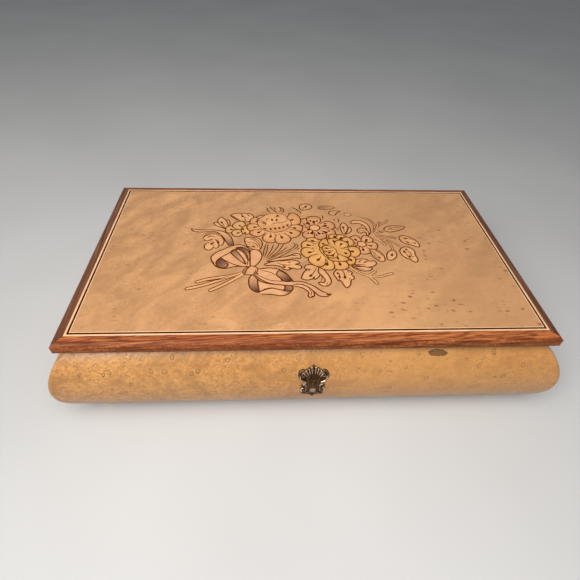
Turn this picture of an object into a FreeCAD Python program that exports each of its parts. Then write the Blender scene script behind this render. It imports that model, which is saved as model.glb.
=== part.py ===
"""Musical jewelry box with an inlaid lid, curved sides, a lock, velvet trays and a pinned-cylinder movement.

Millimetres. The origin is on the table under the middle of the box. X runs along the front, to the right,
Y runs from the front to the back and Z is up. The front of the box faces -Y.
"""
import FreeCAD, Part
import math
import os

V = FreeCAD.Vector
X_AXIS = V(1, 0, 0)
Y_AXIS = V(0, 1, 0)
Z_AXIS = V(0, 0, 1)

# Lid
LID_W = 318.0                 # outer width of the moulding, along X
LID_D = 180.0                 # outer depth of the moulding, along Y
LID_T = 9.0                   # thickness of the lid
CORNER_R = 2.0                # rounding of the lid's corners in plan
NOSE_DROP = 0.7               # fall of the moulding's top face towards its edge
NOSE_R = 3.8                  # rounding of the moulding's edge above its widest line
HEEL_R = 3.0                  # rounding of the moulding's edge below it
FRAME_IN = 11.0               # width of the moulding
LIGHT_LINE = (7.3, 8.6)       # pale stringing, measured inwards from the lid's edge
DARK_LINE = (8.6, 9.8)        # dark stringing
INNER_LINE = (9.8, 10.4)      # thin pale stringing inside the dark one
VENEER_T = 0.8
PAD_T = 2.5                   # velvet pad under the lid
PAD_INSET = 21.0              # from the lid's edge to the pad

# Case
FOOT_H = 5.0
CASE_H = 60.0
UPPER_R = 35.0                # radius of the curved sides above their widest line
LOWER_R = 38.5                # radius below it
BULGE = 9.1                   # how far the sides stand out past the lid's edge
BULGE_Z = 34.3                # height of the widest line
EDGE_R = 2.0                  # rounding of the upright corners of the case
WALL_IN = 17.0                # inner face of the walls, inwards from the lid's edge
FLOOR_Z = 15.0                # underside of the bottom panel, above a recess for the winding key
FLOOR_T = 4.0
GROOVE = 5.0                  # how far the bottom panel is let into the walls
LINING_T = 2.0
DIVIDER_T = 4.0
DIVIDER_TOP = 56.0

CASE_Z = FOOT_H
CASE_TOP = CASE_Z + CASE_H
LID_TOP = CASE_TOP + LID_T
FLOOR_TOP = FLOOR_Z + FLOOR_T
IN_X = LID_W / 2 - WALL_IN
IN_Y = LID_D / 2 - WALL_IN
LINED_X = IN_X - LINING_T
LINED_Y = IN_Y - LINING_T
TRAY_Z = FLOOR_TOP + 1.5      # top of the floor lining

# Layout of the trays
BAY_RIGHT = -66.0             # left face of the divider beside the movement
BAY_FRONT = 12.0              # back face of the long divider
ROLL_LEFT = 8.0               # left end of the ring rolls
ROLLS = 7

# Hinges
HINGE_X = 95.0
HINGE_W = 24.0
HINGE_Y = LID_D / 2
HINGE_Z = CASE_TOP - 2.3
KNUCKLE_R = 2.0
PIN_R = 0.9
PLAY = 0.05                   # running clearance of a pin in its bore
LEAF_T = 1.0
LEAF_FRONT = IN_Y + 0.7

# Lock
LOCK_Y = -LID_D / 2 + 14.1
LOCK_W = 32.0
LOCK_D = 5.8
LOCK_Z = 35.0
STAPLE_X = 8.0
KEYHOLE_Z = 43.5

# Escutcheon
PLATE_W = 20.0
PLATE_TOP = 54.5
PLATE_BOTTOM = 27.5
PLATE_T = 0.8
RELIEF = 0.5                  # height of the raised pattern

# Feet
FEET_X = (-143.5, 140.0)      # left and right pairs, as nailed on
FOOT_Y = 83.2
FOOT_R = 4.3
NAIL_R = 0.75

# Movement
BARREL_X = -118.0
BARREL_Y = 46.0
BARREL_R = 10.0
BARREL_Z = 23.6
BARREL_H = 10.0
CROWN_TEETH = 36
PINION_TEETH = 12
CROWN_R = 9.0
CYL_R = 6.0
CYL_START = BARREL_X + 12.8
CYL_L = 19.0
NOTES = 18
MODULE = 0.4
CYL_GEAR_TEETH = 40
GOV_PINION_TEETH = 10
WORM_WHEEL_TEETH = 20
WORM_R = 1.3
ARBOR_R = 0.8
PINION_R = CROWN_R * PINION_TEETH / CROWN_TEETH
CYL_Z = BARREL_Z + BARREL_H + 0.9 + PINION_R
GOV_Y = BARREL_Y + 8.0
GOV_Z = CYL_Z - 6.0
GEAR_X = CYL_START + CYL_L + 1.0
WORM_X = GEAR_X + 5.2
WHEEL_R = MODULE * WORM_WHEEL_TEETH / 2
WORM_Y = GOV_Y + WHEEL_R + WORM_R
BED_T = 2.5
BED_Z = FLOOR_TOP
BED_TOP = BED_Z + BED_T
ROD_X = WORM_X + 8.5
ROD_Y = WORM_Y + 2.0
GLASS_Z = 50.0
GLASS_T = 2.0

parts = {}


def save(name, *shapes):
    """Keeps one node, made of one or more separate solids."""
    solids = [s for shape in shapes for s in shape.Solids]
    parts[name] = solids[0] if len(solids) == 1 else Part.makeCompound(solids)


def box(x0, x1, y0, y1, z0, z1):
    return Part.makeBox(x1 - x0, y1 - y0, z1 - z0, V(x0, y0, z0))


def rod(r, start, end):
    a, b = V(*start), V(*end)
    return Part.makeCylinder(r, (b - a).Length, a, b - a)


def fused(first, *others):
    return first.multiFuse(list(others)).removeSplitter()


def face_of(edges):
    return Part.Face(Part.Wire(Part.__sortEdges__(edges)))


def line(a, b):
    return Part.LineSegment(V(*a), V(*b)).toShape()


def arc(a, middle, b):
    return Part.Arc(V(*a), V(*middle), V(*b)).toShape()


def polygon(points):
    return Part.Face(Part.makePolygon([V(*p) for p in points + points[:1]]))


# Mitred bars: every moulding, wall and lining strip is one section run round the box


def mitred(section, half_run, edge, turn, reach=30.0):
    """Runs a section, drawn in (inset, z) pairs of edges, along one side and mitres both its ends."""
    bar = section.extrude(V(2 * (half_run + reach), 0, 0))
    bar.translate(V(-half_run - reach, -edge, 0))
    inner = min(half_run, edge) - 1.0
    wedge = polygon([
        (-half_run - reach, -edge - reach, -1), (half_run + reach, -edge - reach, -1),
        (half_run - inner, -edge + inner, -1), (-half_run + inner, -edge + inner, -1)])
    bar = bar.common(wedge.extrude(V(0, 0, 200)))
    bar.rotate(V(0, 0, 0), Z_AXIS, 90 * turn)
    return bar


def around(section):
    """The four mitred bars of a section: front, right, back and left."""
    halves = (LID_W / 2, LID_D / 2)
    return [mitred(section, halves[k % 2], halves[1 - k % 2], k) for k in range(4)]


def side_offset(z, grow=0.0):
    """How far a curved side, moved out by grow, stands out past the lid's edge at height z."""
    r = UPPER_R if z > BULGE_Z else LOWER_R
    return BULGE - r + math.sqrt((r + grow) ** 2 - (z - BULGE_Z) ** 2)


def curved_edge(grow, z0, z1):
    """The two arcs of a curved side from height z0 to z1, with its lowest and highest points."""
    def at(z):
        return (0, -side_offset(z, grow), z)
    lower = arc(at(z0), at((z0 + BULGE_Z) / 2), at(BULGE_Z))
    upper = arc(at(BULGE_Z), at((z1 + BULGE_Z) / 2), at(z1))
    return [lower, upper], at(z0), at(z1)


def rectangle(u0, u1, z0, z1):
    return polygon([(0, u0, z0), (0, u1, z0), (0, u1, z1), (0, u0, z1)])


# Case


def wall_bars():
    outer, low, high = curved_edge(-VENEER_T, CASE_Z, CASE_TOP)
    inner_low, inner_high = (0, WALL_IN, CASE_Z), (0, WALL_IN, CASE_TOP)
    section = face_of(outer + [line(high, inner_high), line(inner_high, inner_low), line(inner_low, low)])
    groove = rectangle(WALL_IN - GROOVE, WALL_IN + 1, FLOOR_Z, FLOOR_TOP)
    return around(section.cut(groove))


def bulging_run(half_run, edge, turn):
    """A block as deep as the case between two opposite curved sides."""
    outer, low, high = curved_edge(0.0, CASE_Z, CASE_TOP)
    half = face_of(outer + [line(high, (0, edge, CASE_TOP)), line((0, edge, CASE_TOP), (0, edge, CASE_Z)),
                            line((0, edge, CASE_Z), low)])
    front = half.extrude(V(2 * half_run, 0, 0))
    front.translate(V(-half_run, -edge, 0))
    back = front.copy()
    back.rotate(V(0, 0, 0), Z_AXIS, 180)
    block = front.fuse(back).removeSplitter()
    block.rotate(V(0, 0, 0), Z_AXIS, turn)
    return block


def rounded_case():
    """The outline of the whole case with its four upright corners eased."""
    reach = LID_W / 2 + 2 * BULGE
    body = bulging_run(reach, LID_D / 2, 0).common(bulging_run(reach, LID_W / 2, 90))
    corners = []
    for edge in body.Edges:
        centre = edge.CenterOfMass
        upright = abs(edge.tangentAt(edge.FirstParameter).z) > 0.3
        if upright and abs(centre.x) > LID_W / 2 - 12 and abs(centre.y) > LID_D / 2 - 12:
            corners.append(edge)
    return body.makeFillet(EDGE_R, corners)


def veneer_bars():
    outer, low, high = curved_edge(0.0, CASE_Z, CASE_TOP)
    inner, low_in, high_in = curved_edge(-VENEER_T, CASE_Z, CASE_TOP)
    section = face_of(outer + inner + [line(high, high_in), line(low_in, low)])
    outline = rounded_case()
    return [bar.common(outline) for bar in around(section)]


def foot(x, y):
    edges = [line((0, 0, 0), (2.4, 0, 0)), arc((2.4, 0, 0), (FOOT_R, 0, 2.3), (2.9, 0, FOOT_H)),
             line((2.9, 0, FOOT_H), (NAIL_R, 0, FOOT_H)), line((NAIL_R, 0, FOOT_H), (NAIL_R, 0, FOOT_H + 7)),
             line((NAIL_R, 0, FOOT_H + 7), (0, 0, FOOT_H + 9)), line((0, 0, FOOT_H + 9), (0, 0, 0))]
    shape = face_of(edges).revolve(V(0, 0, 0), Z_AXIS, 360)
    shape.translate(V(x, y, 0))
    return shape


def make_case():
    feet = [foot(x, sy * FOOT_Y) for x in FEET_X for sy in (-1, 1)]
    front, right, back, left = wall_bars()
    front = front.cut(Part.makeCompound(feet[0::2]))
    back = back.cut(Part.makeCompound(feet[1::2]))
    lock_pocket = box(-LOCK_W / 2, LOCK_W / 2, LOCK_Y - LOCK_D / 2, -IN_Y, LOCK_Z, CASE_TOP)
    keyway = rod(2.0, (0, -LID_D, KEYHOLE_Z), (0, LOCK_Y, KEYHOLE_Z))
    keyway = keyway.fuse(box(-1.0, 1.0, -LID_D, LOCK_Y, KEYHOLE_Z - 5, KEYHOLE_Z))
    front = front.cut(lock_pocket).cut(keyway)
    front_veneer, right_veneer, back_veneer, left_veneer = veneer_bars()
    for sx in (-1, 1):
        x = sx * HINGE_X
        seat = box(x - HINGE_W / 2, x + HINGE_W / 2, LEAF_FRONT, LID_D, HINGE_Z + 1.0, CASE_TOP)
        back = back.cut(seat)
        back_veneer = back_veneer.cut(seat)
        for dx in (-7, 0, 7):
            back = back.cut(leaf_screw(x + dx, CASE_TOP - 0.3, -1))
    save("front_wall", front)
    save("right_wall", right)
    save("back_wall", back)
    save("left_wall", left)
    save("front_veneer", front_veneer.cut(keyway))
    save("right_veneer", right_veneer)
    save("back_veneer", back_veneer)
    save("left_veneer", left_veneer)
    save("feet", *feet)
    panel_x, panel_y = IN_X + GROOVE, IN_Y + GROOVE
    panel = box(-panel_x, panel_x, -panel_y, panel_y, FLOOR_Z, FLOOR_TOP)
    panel = panel.cut(rod(2.6, (BARREL_X, BARREL_Y, 0), (BARREL_X, BARREL_Y, 60)))
    for x, y in MOUNT_POINTS:
        panel = panel.cut(mount_screw(x, y))
    save("bottom_panel", panel)


# Lining, dividers and ring rolls


def make_lining():
    strip = rectangle(WALL_IN, WALL_IN + LINING_T, FLOOR_TOP, CASE_TOP - 1.5)
    front, right, back, left = around(strip)
    save("wall_lining", front, right, back, left)
    divider_y = BAY_FRONT - DIVIDER_T
    floor = box(-LINED_X, LINED_X, -LINED_Y, LINED_Y, FLOOR_TOP, TRAY_Z)
    bay = box(-LINED_X, BAY_RIGHT + DIVIDER_T, divider_y, LINED_Y, FLOOR_TOP, TRAY_Z)
    dividers = box(-LINED_X, LINED_X, divider_y, BAY_FRONT, FLOOR_TOP, TRAY_Z)
    cross = box(ROLL_LEFT - DIVIDER_T, ROLL_LEFT, -LINED_Y, divider_y, FLOOR_TOP, TRAY_Z)
    save("floor_lining", floor.cut(bay).cut(dividers).cut(cross))
    save("long_divider", box(-LINED_X, LINED_X, divider_y, BAY_FRONT, FLOOR_TOP, DIVIDER_TOP))
    save("bay_divider", box(BAY_RIGHT, BAY_RIGHT + DIVIDER_T, BAY_FRONT, LINED_Y, FLOOR_TOP, DIVIDER_TOP))
    save("roll_divider", box(ROLL_LEFT - DIVIDER_T, ROLL_LEFT, -LINED_Y, divider_y, FLOOR_TOP, DIVIDER_TOP))
    pitch = (divider_y + LINED_Y) / ROLLS
    rolls = []
    for k in range(ROLLS):
        y = -LINED_Y + (k + 0.5) * pitch
        r = pitch / 2 - 0.15
        top = DIVIDER_TOP - 14 - r
        section = face_of([
            line((0, y - r, TRAY_Z), (0, y + r, TRAY_Z)), line((0, y + r, TRAY_Z), (0, y + r, top)),
            arc((0, y + r, top), (0, y, top + r), (0, y - r, top)), line((0, y - r, top), (0, y - r, TRAY_Z))])
        roll = section.extrude(V(LINED_X - ROLL_LEFT - 1, 0, 0))
        roll.translate(V(ROLL_LEFT + 0.5, 0, 0))
        rolls.append(roll)
    save("ring_rolls", *rolls)


# Lid


def moulding_bars():
    top, low = LID_TOP, CASE_TOP
    nose_top, nose_low = top - NOSE_DROP, low + HEEL_R
    c, d = NOSE_R * (1 - math.sqrt(0.5)), HEEL_R * (1 - math.sqrt(0.5))
    shoulder = (0, NOSE_R, nose_top)
    heel = (0, HEEL_R, low)
    face_top, face_low = (0, 0, nose_top - NOSE_R), (0, 0, nose_low)
    rebate = top - VENEER_T
    points = [heel, (0, FRAME_IN, low), (0, FRAME_IN, rebate), (0, LIGHT_LINE[0], rebate),
              (0, LIGHT_LINE[0], top), shoulder]
    edges = [line(a, b) for a, b in zip(points, points[1:])]
    edges += [arc(shoulder, (0, c, nose_top - c), face_top), line(face_top, face_low),
              arc(face_low, (0, d, low + d), heel)]
    plan = Part.makeBox(LID_W, LID_D, 30, V(-LID_W / 2, -LID_D / 2, CASE_TOP - 5))
    upright = [e for e in plan.Edges if abs(e.tangentAt(e.FirstParameter).z) > 0.9]
    plan = plan.makeFillet(CORNER_R, upright)
    return [bar.common(plan) for bar in around(face_of(edges))]


def make_lid():
    front, right, back, left = moulding_bars()
    core_x, core_y = LID_W / 2 - FRAME_IN, LID_D / 2 - FRAME_IN
    core = box(-core_x, core_x, -core_y, core_y, CASE_TOP, LID_TOP - VENEER_T)
    for sx in (-1, 1):
        x = sx * HINGE_X
        seat = box(x - HINGE_W / 2, x + HINGE_W / 2, LEAF_FRONT, LID_D, CASE_TOP - 9, CASE_TOP + LEAF_T)
        screws = Part.makeCompound([leaf_screw(x + dx, CASE_TOP, 1) for dx in (-7, 0, 7)])
        core = core.cut(seat).cut(screws)
        back = back.cut(seat)
    plate = box(-13, 13, LOCK_Y - 3.2, LOCK_Y + 3.2, CASE_TOP, CASE_TOP + 1.0)
    core = core.cut(plate)
    front = front.cut(plate)
    for sx in (-1, 1):
        core = core.cut(link_screw(sx))
    save("lid_core", core)
    save("lid_front_moulding", front)
    save("lid_right_moulding", right)
    save("lid_back_moulding", back)
    save("lid_left_moulding", left)
    save("pale_stringing", *around(rectangle(*LIGHT_LINE, LID_TOP - VENEER_T, LID_TOP)))
    save("dark_stringing", *around(rectangle(*DARK_LINE, LID_TOP - VENEER_T, LID_TOP)))
    save("inner_stringing", *around(rectangle(*INNER_LINE, LID_TOP - VENEER_T, LID_TOP)))
    leaf_x, leaf_y = LID_W / 2 - INNER_LINE[1], LID_D / 2 - INNER_LINE[1]
    save("lid_veneer", box(-leaf_x, leaf_x, -leaf_y, leaf_y, LID_TOP - VENEER_T, LID_TOP))
    pad_x, pad_y = LID_W / 2 - PAD_INSET, LID_D / 2 - PAD_INSET
    pad = box(-pad_x, pad_x, -pad_y, pad_y, CASE_TOP - PAD_T, CASE_TOP)
    save("lid_pad", pad.makeFillet(1.8, [e for e in pad.Edges if e.BoundBox.ZMax < CASE_TOP - PAD_T + 0.1]))


# Hinges


def leaf_screw(x, z, way):
    """A small countersunk screw. way is 1 where it goes up from z and -1 where it goes down."""
    y = (IN_Y + 81.0) / 2
    head = Part.makeCone(1.9, 0.7, 1.2, V(x, y, z), V(0, 0, way))
    shank = Part.makeCylinder(0.7, 5.0, V(x, y, z), V(0, 0, way))
    return head.fuse(shank).removeSplitter()


def knuckle(x0, x1, bore):
    tube = rod(KNUCKLE_R, (x0, HINGE_Y, HINGE_Z), (x1, HINGE_Y, HINGE_Z))
    return tube, rod(bore, (x0 - 1, HINGE_Y, HINGE_Z), (x1 + 1, HINGE_Y, HINGE_Z))


def lower_leaf(x):
    half, middle = HINGE_W / 2, 4.0
    top = CASE_TOP - 0.3
    plate = box(x - half, x + half, LEAF_FRONT, HINGE_Y - 4.2, top - LEAF_T, top)
    tongue = box(x - middle, x + middle, HINGE_Y - 4.5, HINGE_Y - 0.6, top - LEAF_T, top)
    tube, hole = knuckle(x - middle, x + middle, PIN_R)
    leaf = fused(plate, tongue, tube).cut(hole)
    for dx in (-7, 0, 7):
        leaf = leaf.cut(leaf_screw(x + dx, top, -1))
    return leaf


def upper_leaf(x):
    half, middle = HINGE_W / 2, 4.2
    low = CASE_TOP
    pieces = [box(x - half, x + half, LEAF_FRONT, HINGE_Y - 1.0, low, low + LEAF_T)]
    holes = []
    for x0, x1 in ((x - half, x - middle), (x + middle, x + half)):
        pieces.append(box(x0, x1, HINGE_Y - 1.9, HINGE_Y - 0.9, HINGE_Z, low + LEAF_T))
        tube, hole = knuckle(x0, x1, PIN_R + PLAY)
        pieces.append(tube)
        holes.append(hole)
    leaf = fused(*pieces).cut(Part.makeCompound(holes))
    for dx in (-7, 0, 7):
        leaf = leaf.cut(leaf_screw(x + dx, low, 1))
    return leaf


def make_hinges():
    reach = HINGE_W / 2 + 0.6
    for name, sx in (("left", -1), ("right", 1)):
        x = sx * HINGE_X
        save(f"{name}_hinge_lower_leaf", lower_leaf(x))
        save(f"{name}_hinge_upper_leaf", upper_leaf(x))
        save(f"{name}_hinge_pin", rod(PIN_R, (x - reach, HINGE_Y, HINGE_Z), (x + reach, HINGE_Y, HINGE_Z)))
    places = [sx * HINGE_X + dx for sx in (-1, 1) for dx in (-7, 0, 7)]
    save("lower_hinge_screws", *[leaf_screw(x, CASE_TOP - 0.3, -1) for x in places])
    save("upper_hinge_screws", *[leaf_screw(x, CASE_TOP, 1) for x in places])


# Lock: a bolt slides sideways through two staples that hang from the lid


def link_screw(sx):
    head = Part.makeCone(1.6, 0.7, 1.0, V(sx * 4.5 * 2.6, LOCK_Y + 1.2, CASE_TOP), Z_AXIS)
    return head.fuse(Part.makeCylinder(0.7, 5.0, V(sx * 4.5 * 2.6, LOCK_Y + 1.2, CASE_TOP), Z_AXIS))


def make_lock():
    y0, y1 = LOCK_Y - LOCK_D / 2, LOCK_Y + LOCK_D / 2
    case = box(-LOCK_W / 2, LOCK_W / 2, y0, y1, LOCK_Z, CASE_TOP)
    case = case.cut(box(-15, 15, y0 + 1, y1 - 1, 55.0, CASE_TOP - 1.0))
    for sx in (-1, 1):
        case = case.cut(box(sx * STAPLE_X - 1.2, sx * STAPLE_X + 1.2, LOCK_Y - 2.2, LOCK_Y + 2.2, 60, 70))
    case = case.cut(rod(1.6, (0, y0 - 1, KEYHOLE_Z), (0, y0 + 4, KEYHOLE_Z)))
    case = case.cut(box(-0.7, 0.7, y0 - 1, y0 + 4, KEYHOLE_Z - 4.5, KEYHOLE_Z))
    save("lock_case", case)
    half = 0.7
    carriage = box(-13.4, 6.9, LOCK_Y - half, LOCK_Y + half, 55.6, 57.4)
    pieces = [carriage]
    for x in (-13.4, 2.6):
        pieces.append(box(x, x + 1.0, LOCK_Y - half, LOCK_Y + half, 55.6, 61.8))
        pieces.append(box(x, x + 4.3, LOCK_Y - half, LOCK_Y + half, 60.2, 61.8))
    save("lock_bolt", fused(*pieces))
    plate = box(-13, 13, LOCK_Y - 3.2, LOCK_Y + 3.2, CASE_TOP, CASE_TOP + 1.0)
    link = [plate]
    for sx in (-1, 1):
        staple = box(sx * STAPLE_X - 0.6, sx * STAPLE_X + 0.6, LOCK_Y - 1.7, LOCK_Y + 1.7, 59.0, CASE_TOP + 1.0)
        window = box(sx * STAPLE_X - 1, sx * STAPLE_X + 1, LOCK_Y - 0.95, LOCK_Y + 0.95, 59.8, 62.2)
        link.append(staple.cut(window))
    link_plate = fused(*link)
    for sx in (-1, 1):
        link_plate = link_plate.cut(link_screw(sx))
    save("lock_link_plate", link_plate)
    save("link_plate_screws", link_screw(-1), link_screw(1))


# Escutcheon: a cast plate bent to the curve of the front


def crest_outline():
    """Half of the crest from top to bottom as (x, z) arcs: each entry holds an arc's middle and its end."""
    return (0.0, PLATE_TOP), [
        ((0.9, 54.2), (1.2, 53.4)), ((2.1, 53.5), (2.6, 52.9)), ((3.5, 53.0), (4.0, 52.3)),
        ((4.8, 52.2), (5.3, 51.5)), ((7.2, 52.1), (9.0, 51.1)), ((PLATE_W / 2, 48.8), (9.2, 46.4)),
        ((7.9, 44.8), (7.0, 43.0)), ((7.2, 41.4), (8.2, 39.9)), ((7.4, 39.5), (6.9, 38.8)),
        ((8.1, 37.4), (8.1, 35.6)), ((7.7, 34.5), (7.3, 33.8)), ((7.7, 32.3), (7.4, 30.9)),
        ((6.4, 30.4), (5.2, 30.2)), ((3.4, 30.3), (1.7, 29.5)), ((1.2, 28.1), (0.0, PLATE_BOTTOM))]


def upright_disc(x, z, r):
    return Part.makeCylinder(r, LID_D, V(x, -LID_D, z), Y_AXIS)


def upright_ring(x, z, outside, inside):
    return upright_disc(x, z, outside).cut(upright_disc(x, z, inside))


def upright_plate(points):
    return polygon([(x, -LID_D, z) for x, z in points]).extrude(V(0, LID_D, 0))


def crest_relief():
    """The raised pattern: a fan of rays, two pairs of volutes and the frame of the shield."""
    pieces = []
    for k in range(-3, 4):
        a = math.radians(90 - 21 * k)
        low, high = 2.6, (5.3, 5.2, 4.9, 4.7)[abs(k)]
        corners = ((low, -0.07), (high, -0.085), (high, 0.085), (low, 0.07))
        pieces.append(upright_plate([(r * math.cos(a + t), 48.6 + r * math.sin(a + t)) for r, t in corners]))
    for side in (1, -1):
        pieces += [upright_ring(side * 7.3, 48.9, 2.4, 1.5), upright_disc(side * 7.3, 48.9, 0.7)]
        pieces += [upright_ring(side * 6.3, 36.6, 1.7, 0.9), upright_disc(side * 6.3, 36.6, 0.4)]
        sweep = [(4.2, 46.0), (6.3, 44.4), (6.5, 42.6), (5.4, 40.4), (4.6, 40.6), (5.5, 42.6), (5.4, 43.8)]
        leaf = [(5.0, 33.6), (5.8, 32.6), (7.0, 31.9), (6.6, 31.2), (5.0, 31.2), (4.2, 32.4)]
        hem = [(0.8, 31.2), (3.6, 32.0), (3.4, 31.0), (1.0, 30.3)]
        pieces += [upright_plate([(side * x, z) for x, z in run]) for run in (sweep, leaf, hem)]
    shield = [(-3.6, 46.6), (0.0, 47.9), (3.6, 46.6), (3.2, 40.0), (3.9, 34.6), (0.0, 33.2), (-3.9, 34.6),
              (-3.2, 40.0)]
    hollow = [(x * 0.8, 40.6 + (z - 40.6) * 0.9) for x, z in shield]
    pieces.append(upright_plate(shield).cut(upright_plate(hollow)))
    return pieces


def front_block(grow):
    """Everything behind the front's curve, moved out by grow, over the height of the crest."""
    outer, low, high = curved_edge(grow, PLATE_BOTTOM - 4, PLATE_TOP + 4)
    back_low, back_high = (0, 30, low[2]), (0, 30, high[2])
    section = face_of(outer + [line(high, back_high), line(back_high, back_low), line(back_low, low)])
    block = section.extrude(V(100, 0, 0))
    block.translate(V(-50, -LID_D / 2, 0))
    return block


def make_escutcheon():
    start, arcs = crest_outline()
    front = -LID_D
    edges = []
    for side in (1, -1):
        here = start
        for middle, end in arcs:
            points = [(side * x, front, z) for x, z in (here, middle, end)]
            edges.append(arc(*points))
            here = end
    blank = face_of(edges).extrude(V(0, LID_D / 2 + 20, 0))
    keyhole = rod(1.5, (0, front, KEYHOLE_Z), (0, 0, KEYHOLE_Z))
    slot = box(-0.65, 0.65, front, 0, KEYHOLE_Z - 4.2, KEYHOLE_Z)
    inner, outer, raised = front_block(0.0), front_block(PLATE_T), front_block(PLATE_T + RELIEF)
    ridges = blank.common(Part.makeCompound(crest_relief())).common(raised)
    plate = blank.common(outer).fuse(ridges).cut(inner).cut(keyhole).cut(slot)
    save("escutcheon", plate)


# Gears of the movement


def gear_face(teeth, phase, centre, module=MODULE, thick=0.38, addendum=0.75, dedendum=1.15):
    """A spur gear's outline in the YZ plane, one tooth centred on the angle phase."""
    pitch_r = module * teeth / 2
    root, tip = pitch_r - dedendum * module, pitch_r + addendum * module
    step = 2 * math.pi / teeth
    pitch_half = thick * step / 2
    root_half = pitch_half * 1.35 + 0.05 * step
    tip_half = pitch_half * 0.55
    points = []
    for k in range(teeth):
        a = phase + k * step
        for r, half in ((root, -root_half), (tip, -tip_half), (tip, tip_half), (root, root_half)):
            points.append((centre[0], centre[1] + r * math.cos(a + half), centre[2] + r * math.sin(a + half)))
    return polygon(points)


def spur(teeth, phase, x0, x1, y, z, **shape):
    return gear_face(teeth, phase, (x0, y, z), **shape).extrude(V(x1 - x0, 0, 0))


def crown_tooth(angle):
    """One upright tooth on the rim of the spring barrel, which meets the cylinder's pinion."""
    pitch = 2 * math.pi * CROWN_R / CROWN_TEETH
    low, high = BARREL_Z + BARREL_H, BARREL_Z + BARREL_H + 1.5
    foot_half, tip_half = pitch * 0.27, pitch * 0.11
    tooth = polygon([(8.2, -foot_half, low), (8.2, foot_half, low), (8.2, tip_half, high), (8.2, -tip_half, high)])
    tooth = tooth.extrude(V(1.6, 0, 0))
    tooth.rotate(V(0, 0, 0), Z_AXIS, math.degrees(angle))
    tooth.translate(V(BARREL_X, BARREL_Y, 0))
    return tooth


def worm(z0, z1):
    """A single-start right-hand thread on a thin shaft, with a gap facing the worm wheel's tooth."""
    lead = math.pi * MODULE
    inner = WORM_R - 0.45
    turns = 3.0
    low = GOV_Z - turns * lead / 2
    # The thread starts on the -Y side, so half a lead above and below the wheel's own height it passes there
    helix = Part.makeHelix(lead, turns * lead, inner)
    half = 0.16
    tooth = Part.makePolygon([V(inner - 0.1, 0, -half * 1.9), V(WORM_R + 0.25, 0, -half * 0.6),
                              V(WORM_R + 0.25, 0, half * 0.6), V(inner - 0.1, 0, half * 1.9),
                              V(inner - 0.1, 0, -half * 1.9)])
    thread = Part.Wire(helix.Edges).makePipeShell([tooth], True, True)
    thread.rotate(V(0, 0, 0), Z_AXIS, -90)
    thread.translate(V(WORM_X, WORM_Y, low))
    shaft = rod(inner, (WORM_X, WORM_Y, z0), (WORM_X, WORM_Y, z1))
    return shaft.fuse(thread)


# Movement

MOUNT_POINTS = [(BARREL_X - 3, BARREL_Y - 20), (GEAR_X + 3, BARREL_Y - 20), (BARREL_X + 15, BARREL_Y + 13)]
COMB_TIP_Y = BARREL_Y - CYL_R - 0.65
COMB_Z = CYL_Z - 0.6


def mount_screw(x, y):
    """A screw that comes up through the bottom panel into the bed plate."""
    head = Part.makeCylinder(2.6, 1.6, V(x, y, FLOOR_Z - 1.6), Z_AXIS)
    return head.fuse(Part.makeCylinder(1.2, FLOOR_T + 3.2, V(x, y, FLOOR_Z - 0.5), Z_AXIS)).removeSplitter()


def comb_screw(x):
    y = COMB_TIP_Y - 18
    head = Part.makeCylinder(2.2, 1.4, V(x, y, COMB_Z + 1.2), Z_AXIS)
    slot = box(x - 3, x + 3, y - 0.25, y + 0.25, COMB_Z + 2.0, COMB_Z + 3)
    return head.cut(slot).fuse(Part.makeCylinder(1.1, 6, V(x, y, COMB_Z - 4.8), Z_AXIS)).removeSplitter()


def make_bed():
    seat_y0, seat_y1 = COMB_TIP_Y - 24, COMB_TIP_Y - 12.5
    plate = box(BARREL_X - 12, WORM_X + 12, seat_y0 - 1, WORM_Y + 7, BED_Z, BED_TOP)
    comb_seat = box(CYL_START - 1, CYL_START + CYL_L + 1, seat_y0, seat_y1, BED_TOP, COMB_Z)
    left_post = box(CYL_START - 1.9, CYL_START - 0.6, BARREL_Y - 3, BARREL_Y + 3, BED_TOP, CYL_Z + 2.4)
    right_post = box(GEAR_X + 2.2, GEAR_X + 3.4, BARREL_Y - 3, GOV_Y + 2, BED_TOP, CYL_Z + 2.4)
    bed = fused(plate, comb_seat, left_post, right_post)
    bed = bed.cut(rod(ARBOR_R + PLAY, (CYL_START - 5, BARREL_Y, CYL_Z), (GEAR_X + 5, BARREL_Y, CYL_Z)))
    bed = bed.cut(rod(0.6 + PLAY, (GEAR_X, GOV_Y, GOV_Z), (GEAR_X + 5, GOV_Y, GOV_Z)))
    bed = bed.cut(rod(2.0 + PLAY, (BARREL_X, BARREL_Y, 0), (BARREL_X, BARREL_Y, 60)))
    for x, y in MOUNT_POINTS:
        bed = bed.cut(mount_screw(x, y))
    for x in COMB_SCREWS:
        bed = bed.cut(comb_screw(x))
    bed = bed.cut(rod(1.1 + PLAY, (ROD_X, ROD_Y, 0), (ROD_X, ROD_Y, 60)))
    save("bed_plate", bed)
    save("movement_screws", *[mount_screw(x, y) for x, y in MOUNT_POINTS])


COMB_SCREWS = (CYL_START + 4.5, CYL_START + CYL_L - 4.5)


def make_comb():
    root = COMB_TIP_Y - 13.0
    plate = box(CYL_START, CYL_START + CYL_L, COMB_TIP_Y - 23.5, root, COMB_Z, COMB_Z + 1.2)
    pitch = CYL_L / NOTES
    teeth = [box(CYL_START + (k + 0.14) * pitch, CYL_START + (k + 0.86) * pitch, root - 0.5, COMB_TIP_Y,
                 COMB_Z + 0.3, COMB_Z + 1.0) for k in range(NOTES)]
    comb = fused(plate, *teeth)
    for x in COMB_SCREWS:
        comb = comb.cut(comb_screw(x))
    save("comb", comb)
    save("comb_screws", *[comb_screw(x) for x in COMB_SCREWS])


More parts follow.
